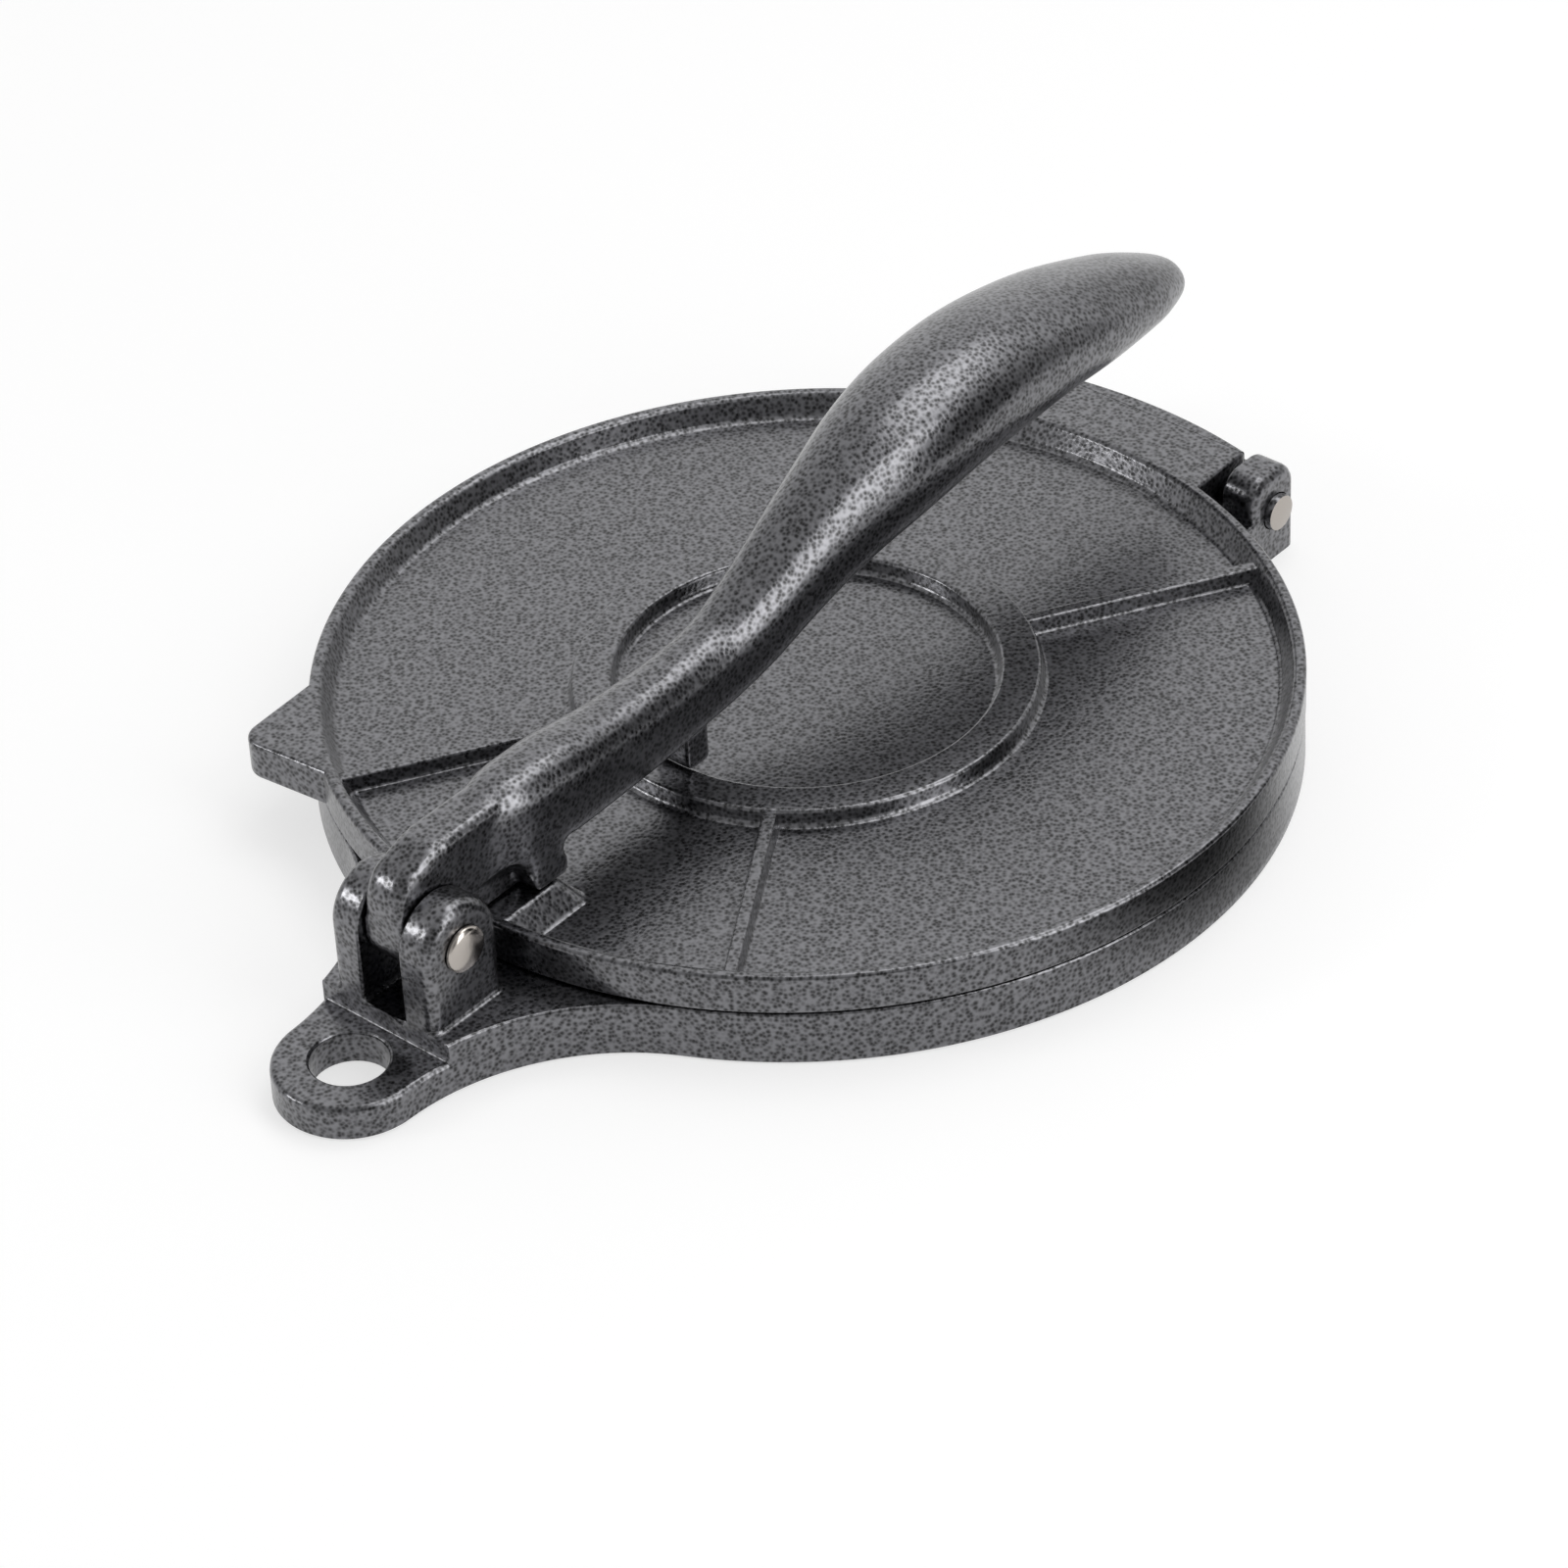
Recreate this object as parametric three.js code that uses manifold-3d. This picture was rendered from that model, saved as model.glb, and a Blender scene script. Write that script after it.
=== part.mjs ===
import * as THREE from 'three';
import { mergeVertices } from 'three/addons/utils/BufferGeometryUtils.js';
import Module from 'manifold-3d';

// A tortilla press with a ten inch plate: three castings that turn on two steel pins.
// Millimetres, +Z up. +Y runs from the clevis that holds the lever to the hinge of the top plate.

// Sizes that all the castings share
const plateRadius = 125;
const runningGap = 0.3;
const edgeRound = 1.2;
const cutOverrun = 5;
const roundSteps = 80;
const pinSteps = 28;
const cornerSteps = 3;

// Base casting: a disc on a skirt, with a tail that ends in a hanging eye
const baseHeight = 15.2;
const baseWall = 4.2;
const baseFloor = 5.4;
const baseDraft = 0.8;
const baseEdgeRound = 1.8;
const footInset = 0.8;
const undersideRibGap = 1.4;
const undersideRibWidth = 4;
const flareRadius = 64;
const eyeSetback = 43;
const eyeOuterRadius = 19;
const eyeHoleRadius = 9.6;
const eyeThickness = 9.5;
const eyeEdgeRound = 1.5;
const tailPocketWall = 5;

// Clevis: two ears on the tail, bored for the lever pin
const pinSetback = 18;
const leverPinRise = 19.3;
const leverPinRadius = 5;
const earRadius = 12.2;
const earThickness = 9.5;
const earOuterRound = 3;
const earSlotRound = 0.8;
const slotWidth = 13.2;
const pinHeadRadius = 6.4;
const pinHeadHeight = 2.2;
const pinHeadRim = 0.6;
const pinTailRadius = 6;
const pinTailHeight = 1.4;

// Hinge at the far side: two lugs on the base, one long knuckle on the top plate
const hingeSetback = 12;
const hingeDrop = 0.5;
const hingePinRadius = 5;
const knuckleRadius = 9.4;
const knuckleHalfLength = 32;
const flangeFlat = 6;
const lugRadius = 9.8;
const lugThickness = 10.5;
const lugSideGap = 2.5;
const lugEdgeRound = 1;
const pinStandout = 2;
const pinChamfer = 0.6;

// Top plate: a dished disc with a rim, a ring rib and four radial ribs
const plateHeight = 10.7;
const plateFloor = 4.7;
const rimWidth = 3;
const rimSlope = 3.2;
const ringInnerRadius = 49;
const ringOuterRadius = 59;
const ringHeight = 4.4;
const ringDraft = 0.6;
const footFillet = 1;
const ribHeight = 4.2;
const ribWidthAtRing = 3.5;
const ribWidthAtRim = 2.4;
const ribDraft = 0.5;
const ribAngle = THREE.MathUtils.degToRad(58.5);
const padHalfWidth = 11.5;
const padReach = 21.5;
const padSideDraft = 3.5;
const padEndDraft = 3.5;
const tabAngle = THREE.MathUtils.degToRad(40.5);
const tabSpread = THREE.MathUtils.degToRad(8.6);
const tabReach = 15.5;
const tabTipRadius = 6;

// Lever: a hub between the ears, a squared shank and a broad egg-shaped paddle
const leverReach = 293.5;
const hubRadius = 9.8;
const hubFrontRound = 6;
const hubTopHeight = 15.5;
const neckTopHeight = 22.4;
const neckUnderside = 1;
const hubLength = 27;
const hubSideGap = 0.4;
const hubEdgeRound = 1.2;
const paddleCrown = 57;
const paddleHalfWidth = 20;
const leverSections = 46;
const leverSectionPoints = 24;
const pressLobeStart = 33;
const pressLobeLength = 11;
const pressLobeHalfWidth = 8.8;
const pressLobeLean = 5;
const restLobeStart = 92;
const restLobeLength = 8;
const restLobeHalfWidth = 5.5;
const restLobeRound = 3;
const lobeRound = 2;
const lobeRoot = 7;

// Stations along the lever. along: share of its reach; low and crown: heights of the underside and
// the top above the pin, as shares of the paddle's crown; width: share of the paddle's half width;
// square: the power of the underside's curve, 2 for an ellipse and more for a squared bar.
const leverStationShares = [
  { along: 0.062, low: 0.035, crown: 0.375, width: 0.28, square: 5 },
  { along: 0.085, low: 0.03, crown: 0.4, width: 0.36, square: 5 },
  { along: 0.11, low: 0.02, crown: 0.42, width: 0.46, square: 5 },
  { along: 0.145, low: 0, crown: 0.42, width: 0.49, square: 5 },
  { along: 0.175, low: -0.005, crown: 0.412, width: 0.495, square: 5 },
  { along: 0.225, low: -0.005, crown: 0.38, width: 0.465, square: 5 },
  { along: 0.275, low: 0, crown: 0.37, width: 0.445, square: 4.8 },
  { along: 0.323, low: 0.018, crown: 0.377, width: 0.432, square: 4.5 },
  { along: 0.37, low: 0.045, crown: 0.41, width: 0.445, square: 4.2 },
  { along: 0.414, low: 0.1, crown: 0.5, width: 0.5, square: 3.9 },
  { along: 0.454, low: 0.175, crown: 0.61, width: 0.557, square: 3.6 },
  { along: 0.495, low: 0.25, crown: 0.72, width: 0.63, square: 3.3 },
  { along: 0.538, low: 0.315, crown: 0.82, width: 0.73, square: 3 },
  { along: 0.582, low: 0.365, crown: 0.905, width: 0.85, square: 2.8 },
  { along: 0.63, low: 0.415, crown: 0.965, width: 0.945, square: 2.6 },
  { along: 0.678, low: 0.455, crown: 0.995, width: 0.99, square: 2.5 },
  { along: 0.732, low: 0.48, crown: 1, width: 1, square: 2.5 },
  { along: 0.787, low: 0.488, crown: 0.97, width: 0.985, square: 2.4 },
  { along: 0.85, low: 0.478, crown: 0.905, width: 0.93, square: 2.4 },
  { along: 0.914, low: 0.465, crown: 0.807, width: 0.79, square: 2.3 },
  { along: 0.947, low: 0.463, crown: 0.745, width: 0.67, square: 2.3 },
  { along: 0.982, low: 0.475, crown: 0.66, width: 0.46, square: 2.2 },
  { along: 0.996, low: 0.51, crown: 0.615, width: 0.24, square: 2.1 },
  { along: 1, low: 0.545, crown: 0.575, width: 0.06, square: 2 },
];
// How much of the underside's squareness the rounder top of a section keeps
const topSquareShare = 0.22;

// Places worked out from the sizes
const plateBottom = baseHeight + runningGap;
const plateTop = plateBottom + plateHeight;
const plateFloorTop = plateBottom + plateFloor;
const leverPinY = -(plateRadius + pinSetback);
const leverPinHeight = baseHeight + leverPinRise;
const eyeY = -(plateRadius + eyeSetback);
const riserY = leverPinY - earRadius;
const hingeY = plateRadius + hingeSetback;
const hingeHeight = baseHeight - hingeDrop;
const hubHalfWidth = slotWidth / 2 - hubSideGap;
const earOuterX = slotWidth / 2 + earThickness;
const lugInnerX = knuckleHalfLength + lugSideGap;
const frontY = eyeY - eyeOuterRadius;
const backY = leverPinY + leverReach;

const wasm = await Module();
wasm.setup();

// A closed geometry as a solid that can be joined and cut
function solid(geometry) {
  const bare = new THREE.BufferGeometry();
  bare.setAttribute('position', geometry.getAttribute('position').clone());
  if (geometry.index) bare.setIndex(geometry.index.clone());
  const merged = mergeVertices(bare);
  const corners = merged.index.array;
  const triangles = [];
  for (let i = 0; i < corners.length; i += 3) {
    const [a, b, c] = corners.slice(i, i + 3);
    if (a !== b && b !== c && c !== a) triangles.push(a, b, c);
  }
  const vertProperties = new Float32Array(merged.getAttribute('position').array);
  const wound = (order) => new wasm.Manifold(
    new wasm.Mesh({ numProp: 3, vertProperties, triVerts: new Uint32Array(order) }));
  const body = wound(triangles);
  return body.volume() > 0 ? body : wound(triangles.reverse());
}

// A finished solid as a named mesh with its own material
function castPiece(name, body, look) {
  const { vertProperties, triVerts } = body.getMesh();
  const geometry = new THREE.BufferGeometry();
  geometry.setAttribute('position', new THREE.BufferAttribute(vertProperties, 3));
  geometry.setIndex(new THREE.BufferAttribute(triVerts, 1));
  geometry.computeVertexNormals();
  const piece = new THREE.Mesh(geometry, new THREE.MeshStandardMaterial(look));
  piece.name = name;
  return piece;
}

// A loft through rings of equal count, each an array of Vector3, closed by a flat cap at each end.
// The rings run anticlockwise as seen from the last one.
function loft(rings) {
  const count = rings[0].length;
  const positions = rings.flat().flatMap((point) => point.toArray());
  const index = [];
  for (let r = 0; r + 1 < rings.length; r++) {
    for (let i = 0; i < count; i++) {
      const next = (i + 1) % count;
      const low = r * count;
      const high = low + count;
      index.push(low + i, low + next, high + next);
      index.push(low + i, high + next, high + i);
    }
  }
  const geometry = new THREE.BufferGeometry();
  for (const end of [0, rings.length - 1]) {
    const ring = rings[end];
    const flat = flatten(ring);
    for (const [a, b, c] of THREE.ShapeUtils.triangulateShape(flat, [])) {
      const face = [a, b, c].map((i) => end * count + i);
      index.push(...(end === 0 ? face.reverse() : face));
    }
  }
  geometry.setAttribute('position', new THREE.Float32BufferAttribute(positions, 3));
  geometry.setIndex(index);
  return geometry;
}

// A flat ring of 3-D points as 2-D points in its own plane, turning the same way
function flatten(ring) {
  const spread = ['x', 'y', 'z'].map((axis) => {
    const values = ring.map((point) => point[axis]);
    return Math.max(...values) - Math.min(...values);
  });
  const thin = spread.indexOf(Math.min(...spread));
  if (thin === 0) return ring.map((point) => new THREE.Vector2(point.y, point.z));
  if (thin === 1) return ring.map((point) => new THREE.Vector2(point.z, point.x));
  return ring.map((point) => new THREE.Vector2(point.x, point.y));
}

// Points of an arc, both ends included
function arc(centreX, centreY, radius, from, to, steps) {
  const points = [];
  for (let i = 0; i <= steps; i++) {
    const angle = THREE.MathUtils.lerp(from, to, i / steps);
    points.push(new THREE.Vector2(centreX + radius * Math.cos(angle), centreY + radius * Math.sin(angle)));
  }
  return points;
}

// A solid of revolution about Z from a closed profile of radius and height
function turned(profile) {
  return solid(new THREE.LatheGeometry(profile, roundSteps).rotateX(Math.PI / 2));
}

// A solid of revolution about X, for the pins
function turnedPin(profile) {
  return new THREE.LatheGeometry(profile, pinSteps).rotateZ(-Math.PI / 2);
}

// A profile in the YZ plane, extruded evenly to both sides of a given X
function sideProfile(shape, centreX, halfWidth, round) {
  const geometry = new THREE.ExtrudeGeometry(shape, {
    depth: 2 * (halfWidth - round),
    bevelEnabled: round > 0,
    bevelThickness: round,
    bevelSize: round,
    bevelOffset: -round,
    bevelSegments: cornerSteps,
    curveSegments: roundSteps / 4,
  });
  geometry.translate(0, 0, -(halfWidth - round));
  geometry.rotateZ(Math.PI / 2).rotateY(Math.PI / 2);
  geometry.translate(centreX, 0, 0);
  return geometry;
}

// A bore along X at a given Y and height
function boreX(radius, halfLength, y, height) {
  const cutter = new THREE.CylinderGeometry(radius, radius, 2 * halfLength, pinSteps);
  return solid(cutter.rotateZ(Math.PI / 2).translate(0, y, height));
}

// An upright bore
function boreZ(radius, y, low, high) {
  const cutter = new THREE.CylinderGeometry(radius, radius, high - low, roundSteps / 2);
  return solid(cutter.rotateX(Math.PI / 2).translate(0, y, (low + high) / 2));
}

// A block between two corners
function block(lowX, highX, lowY, highY, lowZ, highZ) {
  const geometry = new THREE.BoxGeometry(highX - lowX, highY - lowY, highZ - lowZ);
  return solid(geometry.translate((lowX + highX) / 2, (lowY + highY) / 2, (lowZ + highZ) / 2));
}

// A polygon whose corners, given as [x, y, radius], are rounded by arcs
function rounded(corners) {
  const points = [];
  corners.forEach(([x, y, radius = 0], i) => {
    const corner = new THREE.Vector2(x, y);
    if (radius === 0) {
      points.push(corner);
      return;
    }
    const [beforeX, beforeY] = corners[(i + corners.length - 1) % corners.length];
    const [afterX, afterY] = corners[(i + 1) % corners.length];
    const before = new THREE.Vector2(beforeX, beforeY).sub(corner).normalize();
    const after = new THREE.Vector2(afterX, afterY).sub(corner).normalize();
    const halfAngle = Math.acos(before.dot(after)) / 2;
    const middle = before.clone().add(after).normalize();
    const centre = corner.clone().addScaledVector(middle, radius / Math.sin(halfAngle));
    const from = corner.clone().addScaledVector(before, radius / Math.tan(halfAngle)).sub(centre);
    const sweep = Math.sign(before.cross(after)) * -(Math.PI - 2 * halfAngle);
    for (let k = 0; k <= cornerSteps; k++) {
      points.push(from.clone().rotateAround(new THREE.Vector2(), (sweep * k) / cornerSteps).add(centre));
    }
  });
  return points;
}

// The outline of the base, drawn in by an inset. The flare on each side of the tail is an arc
// that touches both the disc and the eye.
function footprint(inset) {
  const toDisc = plateRadius + flareRadius;
  const toEye = eyeOuterRadius + flareRadius;
  const flareY = (toDisc ** 2 - toEye ** 2 + eyeY ** 2) / (2 * eyeY);
  const flareX = Math.sqrt(toDisc ** 2 - flareY ** 2);
  const discAngle = Math.atan2(flareY, flareX);
  const eyeAngle = Math.atan2(flareY - eyeY, flareX);
  const flare = flareRadius + inset;
  const eye = eyeOuterRadius - inset;
  const arcs = [
    arc(0, 0, plateRadius - inset, discAngle, Math.PI - discAngle, roundSteps),
    arc(-flareX, flareY, flare, -discAngle, -eyeAngle, roundSteps / 8),
    arc(0, eyeY, eye, Math.PI - eyeAngle, 2 * Math.PI + eyeAngle, roundSteps / 4),
    arc(flareX, flareY, flare, Math.PI + eyeAngle, Math.PI + discAngle, roundSteps / 8),
  ];
  return arcs.flatMap((points) => points.slice(0, -1));
}

// The footprint raised to a height, with drafted walls and a rounded upper edge
function footprintSlab(height, topRound) {
  const levels = [[0, footInset], [footInset, 0]];
  for (let k = 0; k <= cornerSteps; k++) {
    const turn = ((Math.PI / 2) * k) / cornerSteps;
    const inset = baseDraft + topRound * (1 - Math.cos(turn));
    levels.push([height - topRound + topRound * Math.sin(turn), inset]);
  }
  const rings = levels.map(([z, inset]) => footprint(inset).map(({ x, y }) => new THREE.Vector3(x, y, z)));
  return solid(loft(rings));
}

// Four bars from the ring rib to the rim, at equal angles to the press's long axis
function radialBars(innerRadius, outerRadius, innerWidth, outerWidth, low, high, draft) {
  const bars = [];
  const level = (z, spread) => [
    new THREE.Vector3(innerRadius, -innerWidth / 2 - spread, z),
    new THREE.Vector3(outerRadius, -outerWidth / 2 - spread, z),
    new THREE.Vector3(outerRadius, outerWidth / 2 + spread, z),
    new THREE.Vector3(innerRadius, innerWidth / 2 + spread, z),
  ];
  for (const angle of [ribAngle, Math.PI - ribAngle, Math.PI + ribAngle, -ribAngle]) {
    bars.push(solid(loft([level(low, draft), level(high, 0)]).rotateZ(angle)));
  }
  return wasm.Manifold.union(bars);
}

// One ear of the clevis, on the side of the given sign, with its edges rounded
function ear(side) {
  const root = baseHeight - baseFloor / 2;
  const outline = (inset) => [
    new THREE.Vector2(leverPinY + earRadius - inset, root),
    ...arc(leverPinY, leverPinHeight, earRadius - inset, 0, Math.PI, roundSteps / 4),
    new THREE.Vector2(leverPinY - earRadius + inset, root),
  ];
  const layers = [];
  for (let k = 0; k <= cornerSteps; k++) {
    const turn = ((Math.PI / 2) * k) / cornerSteps;
    const slotInset = earSlotRound * (1 - Math.sin(turn));
    layers.push([slotWidth / 2 + earSlotRound * (1 - Math.cos(turn)), slotInset]);
  }
  for (let k = 0; k <= cornerSteps; k++) {
    const turn = ((Math.PI / 2) * k) / cornerSteps;
    const outerInset = earOuterRound * (1 - Math.cos(turn));
    layers.push([earOuterX - earOuterRound * (1 - Math.sin(turn)), outerInset]);
  }
  if (side < 0) layers.reverse();
  const ringAt = (x, inset) => outline(inset).map((point) => new THREE.Vector3(x, point.x, point.y));
  return solid(loft(layers.map(([x, inset]) => ringAt(side * x, inset))));
}

// One lug of the rear hinge, standing on the table behind the disc
function lug(side) {
  const root = plateRadius - hingeSetback;
  const seat = Math.asin((baseHeight - hingeHeight) / lugRadius);
  const shape = new THREE.Shape([
    new THREE.Vector2(root, 0),
    new THREE.Vector2(hingeY + lugRadius, 0),
    ...arc(hingeY, hingeHeight, lugRadius, 0, Math.PI - seat, roundSteps / 4),
    new THREE.Vector2(root, baseHeight),
  ]);
  return solid(sideProfile(shape, side * (lugInnerX + lugThickness / 2), lugThickness / 2, lugEdgeRound));
}

// The hollow under the disc, which leaves the skirt and a ring rib
function undersideHollow() {
  const roof = baseHeight - baseFloor;
  const wall = plateRadius - baseWall;
  const ringInner = (ringInnerRadius + ringOuterRadius - undersideRibWidth) / 2;
  const ringOuter = ringInner + undersideRibWidth;
  return turned(rounded([
    [0, -cutOverrun],
    [wall, -cutOverrun],
    [wall - baseDraft, roof],
    [ringOuter + ringDraft, roof],
    [ringOuter, undersideRibGap],
    [ringInner, undersideRibGap],
    [ringInner - ringDraft, roof],
    [0, roof],
  ]));
}

// The hollow under the tail, between the disc's skirt and the riser in front of the ears
function tailHollow() {
  const roof = baseHeight - baseFloor;
  const level = (z) => footprint(tailPocketWall).map(({ x, y }) => new THREE.Vector3(x, y, z));
  const tail = solid(loft([level(-cutOverrun), level(roof)]));
  const nearY = riserY + tailPocketWall;
  const farY = -plateRadius - runningGap;
  return tail.intersect(block(-plateRadius, plateRadius, nearY, farY, -2 * cutOverrun, roof + cutOverrun));
}

// The low slab of the hanging eye, which runs a little way under the riser
function makeEyeSlab() {
  const reach = block(-plateRadius, plateRadius, frontY - cutOverrun, riserY + tailPocketWall / 2,
    -cutOverrun, baseHeight);
  return footprintSlab(eyeThickness, eyeEdgeRound).intersect(reach);
}

function makeBase() {
  const front = block(-plateRadius, plateRadius, frontY - cutOverrun, riserY,
    -cutOverrun, baseHeight + cutOverrun);
  const underRibs = radialBars(ringInnerRadius, plateRadius - baseWall / 2,
    undersideRibWidth, undersideRibWidth, undersideRibGap, baseHeight - baseFloor / 2, 0);
  const underRing = boreZ((ringInnerRadius + ringOuterRadius) / 2, 0, -cutOverrun, baseHeight);
  const boreReach = plateRadius;
  return footprintSlab(baseHeight, baseEdgeRound)
    .subtract(front)
    .add(makeEyeSlab())
    .add(lug(1))
    .add(lug(-1))
    .subtract(undersideHollow())
    .subtract(tailHollow())
    .add(underRibs.subtract(underRing))
    .add(ear(1))
    .add(ear(-1))
    .subtract(boreX(leverPinRadius + runningGap, boreReach, leverPinY, leverPinHeight))
    .subtract(boreX(hingePinRadius + runningGap, boreReach, hingeY, hingeHeight))
    .subtract(boreZ(eyeHoleRadius, eyeY, -cutOverrun, baseHeight + cutOverrun));
}

// The dish in the top plate, which leaves the rim and the ring rib standing
function dish() {
  const rim = plateRadius - rimWidth;
  const ringTop = plateFloorTop + ringHeight;
  return turned(rounded([
    [0, plateFloorTop],
    [ringInnerRadius - ringDraft, plateFloorTop, footFillet],
    [ringInnerRadius, ringTop],
    [ringOuterRadius, ringTop],
    [ringOuterRadius + ringDraft, plateFloorTop, footFillet],
    [rim - rimSlope, plateFloorTop, footFillet],
    [rim, plateTop],
    [rim + edgeRound, plateTop + edgeRound],
    [rim, plateTop + cutOverrun],
    [0, plateTop + cutOverrun],
  ]));
}

// The tab that lifts the top plate: two flanks from the rim that touch a round tip
function liftTab() {
  const rootX = plateRadius * Math.cos(tabSpread);
  const rootY = plateRadius * Math.sin(tabSpread);
  const tipX = plateRadius + tabReach - tabTipRadius;
  const flank = Math.hypot(tipX - rootX, rootY);
  const touch = Math.atan2(rootY, rootX - tipX) - Math.acos(tabTipRadius / flank);
  const inner = rootX - rimWidth;
  const shape = new THREE.Shape([
    new THREE.Vector2(inner, -rootY),
    new THREE.Vector2(rootX, -rootY),
    ...arc(tipX, 0, tabTipRadius, -touch, touch, cornerSteps * 3),
    new THREE.Vector2(rootX, rootY),
    new THREE.Vector2(inner, rootY),
  ]);
  const geometry = new THREE.ExtrudeGeometry(shape, {
    depth: plateHeight - 2 * edgeRound,
    bevelThickness: edgeRound,
    bevelSize: edgeRound,
    bevelOffset: -edgeRound,
    bevelSegments: cornerSteps,
  });
  geometry.translate(0, 0, plateBottom + edgeRound);
  return solid(geometry.rotateZ(-(Math.PI / 2 + tabAngle)));
}

// The hinge side of the top plate: a flat flange at rim level that runs into the knuckle
function knuckle() {
  const root = plateRadius - 2 * hingeSetback;
  const flat = new THREE.Vector2(hingeY - flangeFlat, plateTop);
  const toPin = new THREE.Vector2(hingeY, hingeHeight).sub(flat);
  const upper = Math.atan2(-toPin.y, -toPin.x) - Math.acos(knuckleRadius / toPin.length());
  const lower = Math.PI - Math.asin((plateBottom - hingeHeight) / knuckleRadius);
  const shape = new THREE.Shape([
    new THREE.Vector2(root, plateBottom),
    ...arc(hingeY, hingeHeight, knuckleRadius, lower, 2 * Math.PI + upper, roundSteps / 2),
    flat,
    new THREE.Vector2(root, plateTop),
  ]);
  return solid(sideProfile(shape, 0, knuckleHalfLength, edgeRound));
}

// The raised pad on which the lever presses
function pad() {
  const level = (z, spread, end) => [
    new THREE.Vector3(-padHalfWidth - spread, -plateRadius + rimWidth / 2, z),
    new THREE.Vector3(padHalfWidth + spread, -plateRadius + rimWidth / 2, z),
    new THREE.Vector3(padHalfWidth + spread, -plateRadius + padReach + end, z),
    new THREE.Vector3(-padHalfWidth - spread, -plateRadius + padReach + end, z),
  ];
  const foot = level(plateFloorTop - plateFloor / 2, padSideDraft, padEndDraft);
  return solid(loft([foot, level(plateTop, 0, 0)]));
}

function makeTopPlate() {
  const blank = turned(rounded([
    [0, plateBottom],
    [plateRadius, plateBottom, edgeRound / 2],
    [plateRadius, plateTop, edgeRound],
    [0, plateTop],
  ]));
  const ribs = radialBars(ringOuterRadius - edgeRound, plateRadius - rimWidth / 2,
    ribWidthAtRing, ribWidthAtRim, plateFloorTop - plateFloor / 2, plateFloorTop + ribHeight, ribDraft);
  return blank
    .add(liftTab())
    .add(knuckle())
    .subtract(dish())
    .add(ribs)
    .add(pad())
    .subtract(boreX(hingePinRadius + runningGap, plateRadius, hingeY, hingeHeight));
}

// The lever's shank and paddle, lofted through its stations
function leverShank() {
  const spine = new THREE.CatmullRomCurve3(leverStationShares.map(({ along, low, crown }) =>
    new THREE.Vector3(along * leverReach, low * paddleCrown, crown * paddleCrown)));
  const girth = new THREE.CatmullRomCurve3(leverStationShares.map(
    ({ width, square }) => new THREE.Vector3(width * paddleHalfWidth, square, 0)));
  const power = (value, exponent) => Math.sign(value) * Math.abs(value) ** exponent;
  const rings = [];
  for (let k = 0; k <= leverSections; k++) {
    const { x: along, y: low, z: crown } = spine.getPoint(k / leverSections);
    const { x: halfWidth, y: square } = girth.getPoint(k / leverSections);
    const topSquare = THREE.MathUtils.lerp(2, square, topSquareShare);
    const ring = [];
    for (let i = 0; i < leverSectionPoints; i++) {
      const angle = (-2 * Math.PI * (i + 0.5)) / leverSectionPoints;
      const curve = 2 / (Math.sin(angle) > 0 ? topSquare : square);
      const x = halfWidth * power(Math.cos(angle), curve);
      const z = (low + crown) / 2 + ((crown - low) / 2) * power(Math.sin(angle), curve);
      ring.push(new THREE.Vector3(x, along, z));
    }
    rings.push(ring);
  }
  return solid(loft(rings));
}

// The hub that turns between the ears, seen from the side with the pin at zero
function leverHub() {
  const meet = Math.asin(neckUnderside / hubRadius);
  const top = rounded([
    [hubLength, neckTopHeight],
    [hubRadius, neckTopHeight, hubFrontRound],
    [-hubRadius, hubTopHeight, hubFrontRound],
    [-hubRadius, 0],
    [hubLength, 0],
  ]).slice(0, -2);
  const shape = new THREE.Shape([
    ...top,
    ...arc(0, 0, hubRadius, Math.PI, 2 * Math.PI + meet, roundSteps / 4),
    new THREE.Vector2(hubLength, neckUnderside),
  ]);
  return solid(sideProfile(shape, 0, hubHalfWidth, hubEdgeRound));
}

// The lobe that presses on the pad, and the one that comes to rest on the ring rib
function leverLobes() {
  const root = neckUnderside + lobeRoot;
  const pressLow = plateTop + runningGap - leverPinHeight;
  const restLow = plateFloorTop + ringHeight + runningGap - leverPinHeight;
  const pressEnd = pressLobeStart + pressLobeLength;
  const restEnd = restLobeStart + restLobeLength;
  const press = new THREE.Shape(rounded([
    [pressLobeStart, pressLow, lobeRound],
    [pressEnd, pressLow, lobeRound],
    [pressEnd, root],
    [pressLobeStart - pressLobeLean, root],
  ]));
  const rest = new THREE.Shape(rounded([
    [restLobeStart, restLow, lobeRound],
    [restEnd, restLow, restLobeRound],
    [restEnd, root],
    [restLobeStart, root],
  ]));
  return solid(sideProfile(press, 0, pressLobeHalfWidth, edgeRound))
    .add(solid(sideProfile(rest, 0, restLobeHalfWidth, edgeRound)));
}

function makeLever() {
  return leverShank()
    .add(leverHub())
    .add(leverLobes())
    .subtract(boreX(leverPinRadius + runningGap, plateRadius, 0, 0))
    .translate([0, leverPinY, leverPinHeight]);
}

// Points of a dome from its rim to its crown, along the pin's axis
function dome(radius, rim, crown) {
  return arc(0, 0, 1, 0, Math.PI / 2, cornerSteps + 1).map(
    ({ x, y }) => new THREE.Vector2(radius * x, rim + (crown - rim) * y));
}

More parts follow.
